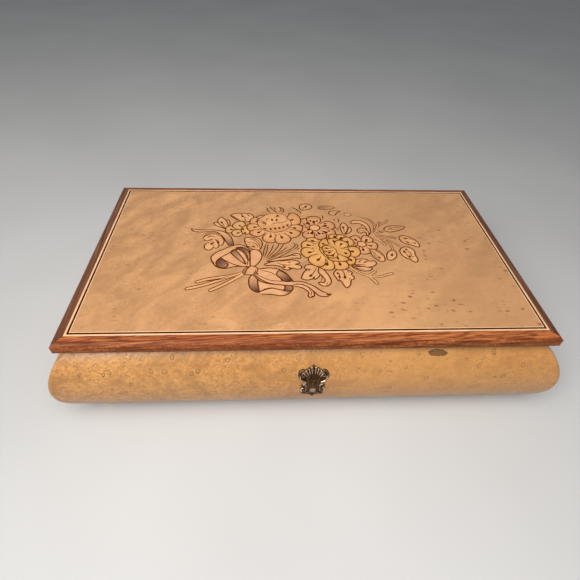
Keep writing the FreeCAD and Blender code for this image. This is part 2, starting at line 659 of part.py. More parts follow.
def cylinder_pins():
    """Pins for each note, set at angles that spread like a tune, without a repeat between notes."""
    pitch = CYL_L / NOTES
    pins = []
    for note in range(NOTES):
        x = CYL_START + (note + 0.5) * pitch
        for k in range(4):
            angle = math.degrees((note * 2.399 + k * 1.72 + 0.31 * note * k) % (2 * math.pi))
            pin = box(x - 0.2, x + 0.2, CYL_R, CYL_R + 0.5, -0.2, 0.2)
            pin.rotate(V(x, 0, 0), X_AXIS, angle)
            pin.translate(V(0, BARREL_Y, CYL_Z))
            pins.append(pin)
    return pins


def make_cylinder():
    tube = rod(CYL_R, (CYL_START, BARREL_Y, CYL_Z), (CYL_START + CYL_L, BARREL_Y, CYL_Z))
    hole = rod(ARBOR_R, (CYL_START - 9, BARREL_Y, CYL_Z), (GEAR_X + 9, BARREL_Y, CYL_Z))
    save("music_cylinder", tube.cut(hole))
    save("cylinder_pins", *cylinder_pins())
    save("cylinder_arbor", rod(ARBOR_R, (BARREL_X + 7.6, BARREL_Y, CYL_Z), (GEAR_X + 4.2, BARREL_Y, CYL_Z)))
    pinion_phase = math.radians(-90) + math.pi / PINION_TEETH
    pinion = spur(PINION_TEETH, pinion_phase, BARREL_X + 7.9, BARREL_X + 10.4, BARREL_Y, CYL_Z,
                  module=2 * PINION_R / PINION_TEETH, thick=0.30, addendum=0.7, dedendum=1.3)
    save("cylinder_pinion", pinion.cut(hole))
    towards = math.atan2(GOV_Z - CYL_Z, GOV_Y - BARREL_Y)
    gear = spur(CYL_GEAR_TEETH, towards, GEAR_X, GEAR_X + 1.5, BARREL_Y, CYL_Z)
    save("cylinder_gear", gear.cut(hole))


def mainspring():
    """A flat steel strip wound in a spiral between the arbor and the barrel's wall."""
    turns, strip = 6.0, 0.3
    inside, outside = [], []
    for k in range(int(turns * 16) + 1):
        t = k / (turns * 16)
        a, r = 2 * math.pi * turns * t, 3.2 + 5.4 * t
        for points, lift in ((inside, 0.0), (outside, strip)):
            points.append(V((r + lift) * math.cos(a), (r + lift) * math.sin(a), 0))
    curves = []
    for points in (inside, outside):
        curve = Part.BSplineCurve()
        curve.interpolate(points)
        curves.append(curve.toShape())
    ends = [Part.makeLine(inside[0], outside[0]), Part.makeLine(inside[-1], outside[-1])]
    coil = face_of(curves + ends).extrude(V(0, 0, BARREL_H - 3.0))
    coil.translate(V(BARREL_X, BARREL_Y, BARREL_Z + 1.3))
    return coil


def clutch_spring():
    """A wire coil round the winding arbor that stops the mainspring from turning the key back."""
    wire, r = 0.28, 2.45
    helix = Part.makeHelix(0.6, 1.5, r)
    ring = Part.Wire(Part.makeCircle(wire, V(r, 0, 0), Y_AXIS))
    coil = Part.Wire(helix.Edges).makePipeShell([ring], True, True)
    tail = rod(wire, (r, 0, 0), (r, -6.5, 0))
    coil = coil.fuse(tail).removeSplitter()
    coil.translate(V(BARREL_X, BARREL_Y, BED_TOP + wire + 0.02))
    return coil


def make_barrel():
    top = BARREL_Z + BARREL_H
    drum = Part.makeCylinder(BARREL_R, BARREL_H, V(BARREL_X, BARREL_Y, BARREL_Z))
    hollow = Part.makeCylinder(BARREL_R - 0.8, BARREL_H - 2.0, V(BARREL_X, BARREL_Y, BARREL_Z + 0.8))
    bore = rod(2.0 + PLAY, (BARREL_X, BARREL_Y, 0), (BARREL_X, BARREL_Y, 60))
    teeth = [crown_tooth(2 * math.pi * k / CROWN_TEETH) for k in range(CROWN_TEETH)]
    save("spring_barrel", fused(drum, *teeth).cut(hollow).cut(bore))
    save("mainspring", mainspring())
    save("clutch_spring", clutch_spring())
    arbor = Part.makeCylinder(2.0, top + 1.0 - 8.5, V(BARREL_X, BARREL_Y, 8.5))
    save("winding_arbor", arbor)
    hub = Part.makeCylinder(3.6, 5.4, V(BARREL_X, BARREL_Y, 8.6))
    collar = Part.makeCylinder(2.6, 0.6, V(BARREL_X, BARREL_Y, 14.0))
    wing = box(BARREL_X - 11, BARREL_X + 11, BARREL_Y - 0.9, BARREL_Y + 0.9, 6.4, 12.6)
    for sx in (-1, 1):
        wing = wing.cut(rod(1.6, (BARREL_X + sx * 7, BARREL_Y - 2, 9.4), (BARREL_X + sx * 7, BARREL_Y + 2, 9.4)))
    key = fused(hub, collar, wing)
    save("winding_key", key.cut(rod(2.0, (BARREL_X, BARREL_Y, 8.5), (BARREL_X, BARREL_Y, 60))))


def make_governor():
    phase = math.atan2(CYL_Z - GOV_Z, BARREL_Y - GOV_Y) + math.pi / GOV_PINION_TEETH
    arbor = rod(0.6, (GEAR_X - 0.6, GOV_Y, GOV_Z), (WORM_X + 3.2, GOV_Y, GOV_Z))
    pinion = spur(GOV_PINION_TEETH, phase, GEAR_X - 0.2, GEAR_X + 1.7, GOV_Y, GOV_Z)
    wheel = spur(WORM_WHEEL_TEETH, 0.0, WORM_X - 0.6, WORM_X + 0.6, GOV_Y, GOV_Z, thick=0.30)
    save("governor_wheel", fused(arbor, pinion, wheel))
    low, high = BED_TOP + 1.5, CYL_Z + 10.4
    save("worm_shaft", worm(low, high))
    hub = rod(1.5, (WORM_X, WORM_Y, CYL_Z + 3.0), (WORM_X, WORM_Y, CYL_Z + 8.6))
    hub = hub.cut(rod(WORM_R - 0.45, (WORM_X, WORM_Y, 0), (WORM_X, WORM_Y, 90)))
    wings = []
    for sx in (-1, 1):
        wing = box(1.45, 4.6, -0.15, 0.15, CYL_Z + 3.2, CYL_Z + 8.4)
        wing.rotate(V(0, 0, 0), Z_AXIS, 90 - 90 * sx)
        wing.translate(V(WORM_X, WORM_Y, 0))
        wings.append(wing)
    save("air_brake", fused(hub, *wings))
    x1 = WORM_X + 2.0
    base = box(x1, x1 + 1.2, GOV_Y - 2, WORM_Y + 2, BED_TOP, high + 0.8)
    foot_plate = box(WORM_X - 2, x1 + 4, WORM_Y - 2, WORM_Y + 2, BED_TOP, low + 0.8)
    bridge = box(WORM_X - 2, x1 + 1.2, WORM_Y - 2, WORM_Y + 2, high - 0.8, high + 0.8)
    # The upright plate is cut away where the air brake turns
    window = Part.makeCylinder(5.1, 6.2, V(WORM_X, WORM_Y, CYL_Z + 2.7))
    frame = fused(base, foot_plate, bridge).cut(window)
    frame = frame.cut(rod(0.6 + PLAY, (GEAR_X, GOV_Y, GOV_Z), (WORM_X + 9, GOV_Y, GOV_Z)))
    frame = frame.cut(rod(WORM_R - 0.45 + PLAY, (WORM_X, WORM_Y, low), (WORM_X, WORM_Y, high)))
    save("governor_frame", frame)


def make_start_rod():
    """The lid holds this rod down. It rises as the lid opens and lets the air brake turn."""
    top = CASE_TOP - PAD_T - 0.3
    stem = rod(1.1, (ROD_X, ROD_Y, BED_Z + 0.2), (ROD_X, ROD_Y, top))
    finger = box(WORM_X + 4.9, ROD_X, ROD_Y - 0.5, ROD_Y + 0.5, CYL_Z + 7.2, CYL_Z + 8.2)
    save("start_rod", fused(stem, finger))


def make_glass():
    ledge_z = GLASS_Z - 4.0
    glass = box(-LINED_X + 0.2, BAY_RIGHT - 0.2, BAY_FRONT + 0.2, LINED_Y - 0.2, GLASS_Z, GLASS_Z + GLASS_T)
    save("movement_cover", glass.cut(rod(1.6, (ROD_X, ROD_Y, 0), (ROD_X, ROD_Y, 90))))
    ledges = [box(-LINED_X, -LINED_X + 2, BAY_FRONT, LINED_Y, ledge_z, GLASS_Z),
              box(BAY_RIGHT - 2, BAY_RIGHT, BAY_FRONT, LINED_Y, ledge_z, GLASS_Z)]
    save("cover_ledges", *ledges)


def main():
    make_case()
    make_lining()
    make_lid()
    make_hinges()
    make_lock()
    make_escutcheon()
    make_bed()
    make_comb()
    make_cylinder()
    make_barrel()
    make_governor()
    make_start_rod()
    make_glass()
    os.makedirs("parts", exist_ok=True)
    for name, shape in parts.items():
        good = shape.isValid() and all(s.Volume > 0 for s in shape.Solids)
        print(f"{name}: {len(shape.Solids)} solids, {shape.Volume:.1f} mm3{'' if good else ', not valid'}")
        shape.exportStep(f"parts/{name}.step")


main()
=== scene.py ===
"""Looks of the musical jewelry box: woods, inlaid bouquet, cast escutcheon, velvet and movement."""

import bmesh
import bpy
import math
import numpy as np
from mathutils import Matrix, Vector
from mathutils.geometry import delaunay_2d_cdt


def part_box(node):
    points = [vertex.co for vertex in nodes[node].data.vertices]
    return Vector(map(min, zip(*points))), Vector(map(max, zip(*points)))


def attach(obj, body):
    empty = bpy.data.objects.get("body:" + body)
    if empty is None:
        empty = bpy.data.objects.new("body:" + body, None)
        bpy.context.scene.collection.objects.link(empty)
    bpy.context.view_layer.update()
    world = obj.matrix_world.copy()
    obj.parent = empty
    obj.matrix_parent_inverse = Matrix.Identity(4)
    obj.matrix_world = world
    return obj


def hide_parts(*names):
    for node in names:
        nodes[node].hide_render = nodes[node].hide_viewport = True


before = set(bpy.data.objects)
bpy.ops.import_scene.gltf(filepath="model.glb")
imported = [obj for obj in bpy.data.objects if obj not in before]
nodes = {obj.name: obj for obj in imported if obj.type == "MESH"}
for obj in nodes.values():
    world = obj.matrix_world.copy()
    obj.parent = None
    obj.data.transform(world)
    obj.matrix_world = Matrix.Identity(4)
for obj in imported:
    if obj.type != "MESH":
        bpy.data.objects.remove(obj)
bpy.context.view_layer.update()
MM = 0.001
QUARTER = math.pi / 2

LID_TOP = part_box("lid_veneer")[1].z
LID_DEPTH = 0.180
NOSE_TOP = LID_TOP - 0.6 * MM    # painted shade: the moulding's nose is darkened below this height


def put(name, data):
    """A new object in the scene."""
    piece = bpy.data.objects.new(name, data)
    bpy.context.scene.collection.objects.link(piece)
    return piece


def shaded_mesh(name, points, faces, material, attribute=None, levels=()):
    """A mesh with its material and, where an attribute is named, the level of each point in it."""
    mesh = bpy.data.meshes.new(name)
    mesh.from_pydata(points, [], faces)
    if attribute:
        mesh.attributes.new(attribute, "FLOAT", "POINT").data.foreach_set("value", levels)
    mesh.materials.append(material)
    return mesh


# Materials


class Shade:
    """A material with a Principled shader, and short calls for the nodes that feed it."""

    SOCKETS = {"color": "Base Color", "rough": "Roughness", "metal": "Metallic", "coat": "Coat Weight",
               "coat_rough": "Coat Roughness", "sheen": "Sheen Weight", "sheen_rough": "Sheen Roughness",
               "sheen_tint": "Sheen Tint", "ior": "IOR", "glass": "Transmission Weight",
               "specular": "Specular IOR Level", "normal": "Normal"}

    def __init__(self, name):
        self.mat = bpy.data.materials.new(name)
        self.mat.use_nodes = True
        self.tree = self.mat.node_tree
        self.shader = self.tree.nodes["Principled BSDF"]
        self.place = self.tree.nodes.new("ShaderNodeTexCoord").outputs["Object"]

    def add(self, kind, inputs=(), **settings):
        node = self.tree.nodes.new("ShaderNode" + kind)
        for key, value in settings.items():
            setattr(node, key, value)
        for key, value in dict(inputs).items():
            self.feed(node.inputs[key], value)
        return node

    def feed(self, socket, value):
        if isinstance(value, bpy.types.NodeSocket):
            self.tree.links.new(value, socket)
        else:
            socket.default_value = value

    def set(self, **inputs):
        for key, value in inputs.items():
            self.feed(self.shader.inputs[self.SOCKETS[key]], value)

    def axes(self, place=None):
        """X, Y and Z of the place."""
        return self.add("SeparateXYZ", {0: place or self.place}).outputs

    def stretch(self, x=1.0, y=1.0, z=1.0, turn=0.0):
        """Turned about the upright, then stretched: 0.1 makes a pattern ten times as long that way."""
        inputs = {"Vector": self.place, "Scale": (1 / x, 1 / y, 1 / z), "Rotation": (0, 0, turn)}
        return self.add("Mapping", inputs, vector_type="TEXTURE").outputs["Vector"]

    def noise(self, scale, detail=3.0, rough=0.5, where=None, bend=0.0):
        return self.add("TexNoise", {"Vector": where or self.place, "Scale": scale, "Detail": detail,
                                     "Roughness": rough, "Distortion": bend}).outputs["Fac"]

    def ragged(self, place, where, scale, detail, shift):
        """The place, pushed about by a noise that is read at where. The shift is the widest push."""
        tatter = self.add("TexNoise", {"Vector": where, "Scale": scale, "Detail": detail}).outputs["Color"]
        inputs = {0: tatter, 1: shift, 2: place}
        return self.add("VectorMath", inputs, operation="MULTIPLY_ADD").outputs["Vector"]

    def cells(self, scale, where, flat):
        """Distance to the middle of a cell, and the cell's own random level."""
        kind = "2D" if flat else "3D"
        found = self.add("TexVoronoi", {"Vector": where, "Scale": scale}, voronoi_dimensions=kind).outputs
        return found["Distance"], found["Color"]

    def painted(self, name):
        """A level that the mesh carries at its points."""
        return self.add("Attribute", attribute_name=name, attribute_type="GEOMETRY").outputs["Fac"]

    def ramp(self, value, *stops):
        """Grey levels: stops are (position, level) pairs."""
        return self.colors(value, *[(at, (level,) * 3) for at, level in stops])

    def colors(self, value, *stops):
        node = self.add("ValToRGB", {"Fac": value})
        line = node.color_ramp
        while len(line.elements) < len(stops):
            line.elements.new(0.5)
        for element, (at, color) in zip(line.elements, stops):
            element.position = at
            element.color = (*color[:3], 1.0)
        return node.outputs["Color"]

    def math(self, kind, a, b=0.0, clamp=False):
        return self.add("Math", {0: a, 1: b}, operation=kind, use_clamp=clamp).outputs[0]

    def times(self, product, *factors):
        for factor in factors:
            product = self.math("MULTIPLY", product, factor)
        return product

    def plus(self, a, b):
        return self.math("ADD", a, b)

    def minus(self, a, b):
        return self.math("SUBTRACT", a, b)

    def mix(self, amount, a, b):
        """From color a at an amount of 0 to color b at 1."""
        node = self.add("Mix", {"Factor": amount}, data_type="RGBA")
        for socket, value in ((node.inputs[6], a), (node.inputs[7], b)):
            self.feed(socket, value if isinstance(value, bpy.types.NodeSocket) else (*value[:3], 1.0))
        return node.outputs[2]

    def bump(self, height, depth, strength=0.5, under=None):
        inputs = {"Height": height, "Distance": depth, "Strength": strength}
        if under is not None:
            inputs["Normal"] = under
        return self.add("Bump", inputs).outputs["Normal"]


def scaled(color, *levels):
    """A color made darker or paler by one level, or by one for each channel."""
    return tuple(c * level for c, level in zip(color, levels if len(levels) == 3 else levels * 3))


def dress(material, *names):
    """Gives CAD nodes their material."""
    for name in names:
        nodes[name].data.materials.clear()
        nodes[name].data.materials.append(material)


def curly_figure(s, pale, deep, turn, lively):
    """Clouds, patches and fine mottling of curly maple."""
    darker, paler = scaled(deep, 0.66), scaled(pale, 1.26)
    cloud = s.noise(15.0, 3.0, 0.5, s.stretch(0.7, turn=turn + 0.25), 0.6)
    shade = s.mix(s.ramp(cloud, (0.30, 0.0), (0.72, 1.0)), deep, pale)
    patches = s.noise(62.0, 3.0, 0.55, s.stretch(0.7, turn=turn + 0.5), 1.2)
    shade = s.mix(s.times(s.ramp(patches, (0.36, 0.60), (0.52, 0.0)), lively), shade, darker)
    small = s.noise(470.0, 3.0, 0.65, s.stretch(0.8, turn=turn + 0.4), 1.3)
    near = s.times(s.ramp(patches, (0.40, 0.35), (0.60, 1.0)), lively)
    shade = s.mix(s.times(s.ramp(small, (0.36, 0.80), (0.50, 0.0)), near), shade, darker)
    return s.mix(s.times(s.ramp(small, (0.52, 0.0), (0.66, 0.75)), near), shade, paler)


def add_eyes(s, shade, pale, brown, fleck, along, across, amount):
    """Bird's eyes on a side: a brown ring in a pale glow. Gives the shade and the height of each spot."""
    face = s.axes(along)
    face = s.add("CombineXYZ", {"X": face["X"], "Y": face["Z"]}).outputs["Vector"]
    far, pick = s.cells(132.0, s.ragged(face, along, 420.0, 2.0, (0.0018, 0.0018, 0.0)), True)
    far = s.times(far, s.ramp(pick, (0.60, 1.25), (0.90, 0.80)))
    ring = s.ramp(far, (0.090, 0.0), (0.130, 1.0), (0.155, 1.0), (0.210, 0.0))
    ring = s.times(ring, s.ramp(s.noise(620.0, 1.0), (0.36, 0.45), (0.52, 1.0)))
    glow = s.ramp(far, (0.04, 0.0), (0.080, 1.0), (0.115, 0.0), (0.185, 0.0), (0.235, 0.5), (0.300, 0.0))
    heart = s.ramp(far, (0.030, 1.0), (0.060, 0.0))
    some = s.times(s.ramp(pick, (0.54, 0.0), (0.60, 0.40), (0.67, 0.50), (0.77, 1.0)), amount,
                   s.ramp(across, (0.05, 1.0), (0.62, 0.55), (0.95, 0.8)))
    shade = s.mix(s.times(glow, s.times(some, 0.6)), shade, scaled(pale, 1.26))
    shade = s.mix(s.times(ring, some), shade, brown)
    return s.mix(s.times(heart, s.times(some, 0.7)), shade, fleck), s.minus(glow, ring)


def add_flecks(s, shade, fleck, turn, across, corner, amount, flat):
    """Short brown dashes, in groups that are denser towards the right front corner."""
    ragged = s.ragged(s.stretch(0.55, turn=turn - 0.12), s.place, 900.0, 1.0, (0.0020, 0.0026, 0.0))
    far, pick = s.cells(310.0, ragged, flat)
    size = s.ramp(pick, (0.55, 1.25), (0.85, 0.62))
    dash = s.ramp(s.times(far, size), (0.090, 1.0), (0.150, 0.45), (0.24, 0.0))
    few = s.ramp(pick, (0.58, 0.0), (0.84, 1.0))
    place = s.times(s.ramp(s.noise(38.0, 1.0), (0.42, 0.10), (0.54, 1.0)),
                    s.ramp(across, (0.05, 0.65), (0.45, 0.35), (0.60, 1.0)),
                    s.ramp(corner, (0.04, 0.15), (0.11, 1.0)))
    return s.mix(s.times(s.times(dash, few), s.times(place, amount)), shade, fleck)


def add_stain(s, shade, spot, size, color):
    """A brown stain with a ragged rim on the front, at a spot and of a size given across and upwards."""
    (x, z), (wide, tall) = spot, size
    near = s.add("Mapping", {"Vector": s.place, "Location": (-x / wide, 0, -z / tall),
                             "Scale": (1 / wide, 0, 1 / tall)}).outputs["Vector"]
    rim = s.add("VectorMath", {0: near}, operation="LENGTH").outputs["Value"]
    uneven = s.plus(s.times(rim, 0.5), s.times(s.noise(420.0, 2.0, 0.6), 0.45))
    front = s.ramp(s.axes()["Y"], (0.0, 1.0), (0.001, 0.0))
    stain = s.times(s.ramp(uneven, (0.50, 0.82), (0.66, 0.97), (0.74, 0.0)), front)
    return s.mix(stain, shade, color)


def maple(name, pale, deep, fleck, turn=0.0, eyes=0.0, flecks=0.0, bands=0.0, curl=1.0, stain=None):
    """Bird's-eye maple veneer under satin lacquer: curly mottling, ringed eyes and short brown flecks."""
    s = Shade(name)
    along = s.stretch(turn=turn)
    darker, brown = scaled(deep, 0.66), scaled(deep, 0.42)
    at = s.axes()
    across = s.plus(s.times(at["X"], 3.0), 0.5)
    corner = s.minus(s.math("ABSOLUTE", at["X"]), s.times(at["Y"], 0.8))
    lively = s.ramp(across, (0.05, 1.0), (0.45, 0.85), (0.62, 0.40), (0.95, 0.50))
    shade = curly_figure(s, pale, deep, turn, s.times(lively, curl))
    grain = s.noise(800.0, 3.0, 0.65, s.stretch(0.07, turn=turn), 0.3)
    straight = s.ramp(across, (0.45, 0.04), (0.80, 0.13))
    shade = s.mix(s.times(s.ramp(grain, (0.34, 1.0), (0.46, 0.0)), straight), shade, brown)
    if bands:
        band = s.noise(48.0, 3.0, 0.5, s.stretch(0.40, turn=turn + 0.85), 1.6)
        shade = s.mix(s.times(s.ramp(band, (0.36, bands), (0.52, 0.0)), lively), shade, darker)
        shade = s.mix(s.times(s.ramp(band, (0.55, 0.0), (0.70, bands)), lively), shade, scaled(pale, 1.26))
        # painted shade: the lid darker towards its left and right ends, most at the front corners
        shade = s.mix(s.ramp(corner, (0.10, 0.0), (0.165, 0.28)), shade, darker)
    skin = s.bump(s.noise(55.0, 2.0, 0.5, along), 0.00006)
    if eyes:
        shade, dent = add_eyes(s, shade, pale, brown, fleck, along, across, eyes)
        skin = s.bump(dent, 0.00025, 0.5, skin)
    shade = add_flecks(s, shade, fleck, turn, across, corner, flecks, bool(bands))
    if stain:
        shade = add_stain(s, shade, *stain)
    rough = s.plus(s.times(s.noise(30.0, 3.0, 0.6), 0.14), 0.28)
    s.set(color=shade, rough=rough, coat=0.15, coat_rough=0.22, normal=skin, specular=0.38)
    return s.mat


def mahogany(name, turn=0.0, painted_reflection_tint=(1, 1, 1), open_pores=0.80):
    """Red-brown moulding: streaks almost along it, dark pores, and painted shade that darkens the nose
    downwards in dots like its pores.
    """
    s = Shade(name)
    # the tint paints reflection and shade: darker and bluer on the side mouldings
    light, dark, red = [scaled(color, *painted_reflection_tint)
                        for color in ((0.415, 0.135, 0.044), (0.098, 0.019, 0.005), (0.255, 0.067, 0.019))]
    streak = s.noise(960.0, 2.0, 0.5, s.stretch(0.032, turn=turn + 0.04), 0.4)
    shade = s.mix(s.ramp(streak, (0.36, 0.0), (0.58, 1.0)), dark, light)
    wide = s.noise(26.0, 2.0, 0.5, s.stretch(0.4, turn=turn))
    shade = s.mix(s.ramp(wide, (0.40, 0.60), (0.60, 0.0)), shade, red)
    pores = s.ramp(s.noise(1100.0, 2.0, 0.6, s.stretch(0.08, turn=turn + 0.10)), (0.40, 1.0), (0.49, 0.0))
    shade = s.mix(s.times(pores, open_pores), shade, (0.115, 0.022, 0.005))
    nose_shade = s.times(s.minus(NOSE_TOP, s.axes()["Z"]), 700.0)    # painted shade on the nose: 1 is reached 1.4 mm below the nose's top
    nose_shade = s.ramp(nose_shade, (0.0, 0.0), (1.0, 0.64))
    dots = s.ramp(s.noise(1150.0, 1.0, 0.5, s.stretch(0.6, turn=turn)), (0.44, 1.0), (0.58, 0.25))
    # painted shade: dark brown dots laid over the nose
    shade = s.mix(s.times(nose_shade, dots), shade, (0.105, 0.024, 0.005))
    skin = s.bump(s.times(pores, -1.0), 0.00004)
    rough = s.plus(s.times(s.noise(50.0, 2.0, 0.6), 0.12), 0.36)
    s.set(color=shade, rough=rough, coat=0.02, coat_rough=0.25, normal=skin, specular=0.12)
    return s.mat


def line_wood(name, light, dark, glint=0.12):
    """Narrow strips of stringing."""
    s = Shade(name)
    tone = s.noise(900.0, 2.0, 0.6, s.stretch(0.08, 0.08))
    s.set(color=s.colors(tone, (0.35, dark), (0.65, light)), rough=0.40, specular=glint)
    return s.mat


def metal(name, color, rough, worn=0.06, scratch=600.0, direction=(1, 1, 1)):
    """A metal with a slightly uneven surface, fine marks and faint stains."""
    s = Shade(name)
    lines = s.noise(scratch, 3.0, 0.7, s.stretch(*direction))
    cloud = s.noise(90.0, 3.0, 0.6)
    shade = s.mix(s.ramp(cloud, (0.35, 0.55), (0.65, 0.0)), color, scaled(color, 0.72))
    s.set(color=shade, metal=1.0, rough=s.plus(s.times(lines, worn * 2), rough - worn),
          normal=s.bump(lines, 0.00001, 0.35))
    return s.mat


def velvet(name, color, glow):
    """Short pile: dark face, pale grazing sheen and brushed patches."""
    s = Shade(name)
    brushed = s.noise(38.0, 3.0, 0.6, None, 0.8)
    pile = s.noise(2600.0, 2.0, 0.7)
    base = s.colors(brushed, (0.36, scaled(color, 0.50)), (0.64, color))
    base = s.mix(s.ramp(pile, (0.35, 0.5), (0.62, 0.0)), base, scaled(color, 0.35))
    s.set(color=base, rough=0.95, sheen=0.9, sheen_rough=0.35, sheen_tint=(*glow, 1.0), specular=0.12,
          normal=s.bump(pile, 0.00018, 0.6, s.bump(brushed, 0.0005, 0.35)))
    return s.mat


def clear_sheet(name):
    """Clear plastic with faint smears."""
    s = Shade(name)
    rough = s.plus(s.times(s.noise(45.0, 3.0, 0.6), 0.05), 0.01)
    s.set(color=(0.95, 0.98, 0.98, 1.0), glass=1.0, ior=1.49, specular=0.5, rough=rough)
    return s.mat


def plywood(name, light, dark):
    """Plain unpolished wood with long grain and open pores."""
    s = Shade(name)
    place = s.stretch(0.08)
    grain = s.noise(260.0, 4.0, 0.65, place, 0.6)
    base = s.colors(grain, (0.34, dark), (0.66, light))
    pores = s.ramp(s.noise(1300.0, 2.0, 0.6, place), (0.36, 1.0), (0.42, 0.0))
    base = s.mix(s.times(pores, 0.4), base, scaled(dark, 0.5))
    s.set(color=base, rough=0.62, normal=s.bump(grain, 0.00006))
    return s.mat


def two_tone(name, scale, detail, coarse, stops, **settings):
    """A plain material between two colors."""
    s = Shade(name)
    s.set(color=s.colors(s.noise(scale, detail, coarse), *stops), **settings)
    return s.mat


def inlay_wood(name, pale, deep, burnt, burn=0.65):
    """Dyed veneer: fine grain, darker towards the side of each piece that was dipped in hot sand."""
    s = Shade(name)
    grain = s.noise(800.0, 3.0, 0.6, s.stretch(0.2, turn=0.5))
    base = s.colors(s.noise(130.0, 2.0), (0.35, deep), (0.65, pale))
    base = s.mix(s.ramp(grain, (0.38, 0.22), (0.60, 0.0)), base, scaled(deep, 0.6))
    s.set(color=s.mix(s.times(s.painted("shade"), burn), base, burnt), rough=0.32, coat=0.12, coat_rough=0.2,
          specular=0.22)
    return s.mat


def cast_bronze(name):
    """Dark brown patina in the hollows, rubbed bright where fingers reach, with painted highlights and a
    painted reflection in the same bright brass.
    """
    s = Shade(name)
    cloud = s.noise(420.0, 4.0, 0.65)
    level = s.math("MULTIPLY", s.painted("rub_and_highlight"), s.plus(s.times(cloud, 0.7), 0.62), True)
    patina = s.colors(cloud, (0.35, (0.044, 0.018, 0.008)), (0.68, (0.120, 0.056, 0.026)))
    # the bright brass stands for rubbed wear and for painted highlights
    s.set(color=s.mix(level, patina, (0.88, 0.63, 0.43)), metal=1.0,
          rough=s.minus(0.50, s.times(level, 0.24)), normal=s.bump(s.noise(900.0, 3.0, 0.6), 0.00004))
    return s.mat


wine = velvet("wine", (0.150, 0.008, 0.020), (0.80, 0.25, 0.30))
roll_velvet = velvet("roll_velvet", (0.165, 0.010, 0.024), (0.85, 0.28, 0.33))


def dress_nodes():
    """Gives every CAD node its material. A material's nodes are named in one string."""
    side = ((0.490, 0.243, 0.079), (0.405, 0.186, 0.054), (0.130, 0.046, 0.012))
    stain = ((0.0805, 0.0594), (0.0065, 0.0017), (0.105, 0.047, 0.011))
    nylon = ((0.3, (0.72, 0.72, 0.66)), (0.7, (0.82, 0.82, 0.77)))
    finishes = {
        "front_wall back_wall left_wall right_wall":
            plywood("core_wood", (0.56, 0.36, 0.18), (0.40, 0.23, 0.11)),
        "front_veneer back_veneer": maple("side_maple", *side, eyes=1.0, flecks=0.6, curl=1.12, stain=stain),
        "left_veneer right_veneer": maple("side_maple_y", *side, QUARTER, eyes=1.0, flecks=0.6, curl=1.12),
        "bottom_panel lid_core": plywood("ply", (0.60, 0.42, 0.24), (0.46, 0.29, 0.15)),
        "lid_veneer": maple("lid_maple", (0.560, 0.298, 0.132), (0.462, 0.234, 0.102), (0.150, 0.050, 0.016),
                            flecks=0.8, bands=0.46, curl=0.60),
        "lid_front_moulding lid_back_moulding": mahogany("mahogany_x"),
        # the side mouldings are tinted darker and bluer: painted reflection and shade
        "lid_left_moulding lid_right_moulding": mahogany("mahogany_y", QUARTER, (0.47, 0.68, 1.15), 0.35),
        "pale_stringing inner_stringing": line_wood("pale_line", (0.72, 0.45, 0.27), (0.62, 0.36, 0.20)),
        "dark_stringing": line_wood("dark_line", (0.034, 0.0055, 0.0008), (0.016, 0.0025, 0.0005), 0.01),
        "feet": metal("foot_brass", (0.95, 0.80, 0.50), 0.14),
        "left_hinge_lower_leaf left_hinge_upper_leaf left_hinge_pin right_hinge_lower_leaf "
        "right_hinge_upper_leaf right_hinge_pin lower_hinge_screws upper_hinge_screws lock_link_plate "
        "link_plate_screws escutcheon": metal("hinge_brass", (0.72, 0.50, 0.20), 0.28, direction=(1, 6, 1)),
        "lock_case lock_bolt comb cylinder_arbor winding_arbor worm_shaft start_rod cylinder_pins":
            metal("steel", (0.55, 0.55, 0.56), 0.28, 0.04, 1800.0, (1, 0.15, 1)),
        "music_cylinder": metal("roller_brass", (0.82, 0.62, 0.30), 0.24, direction=(8, 1, 1)),
        "cylinder_pinion cylinder_gear spring_barrel governor_wheel":
            metal("gear_brass", (0.78, 0.56, 0.24), 0.26, direction=(6, 1, 1)),
        "mainspring clutch_spring": metal("blued", (0.16, 0.19, 0.26), 0.25),
        "bed_plate governor_frame": metal("zinc", (0.47, 0.48, 0.50), 0.42, 0.1, 260.0),
        "movement_screws comb_screws winding_key": metal("bright", (0.66, 0.66, 0.68), 0.14),
        "air_brake": two_tone("nylon", 160.0, 3.0, 0.5, nylon, rough=0.42),
        "movement_cover": clear_sheet("glass"),
        "wall_lining floor_lining long_divider bay_divider roll_divider cover_ledges lid_pad "
        "ring_rolls": wine}
    for names, material in finishes.items():
        dress(material, *names.split())


dress_nodes()


# Inlaid bouquet: pieces of shaded wood with burnt outlines, laid flush in the lid's top


LINE = 0.98                    # width of a drawn line, in millimetres
FINE = 0.6                     # width of the thinnest one


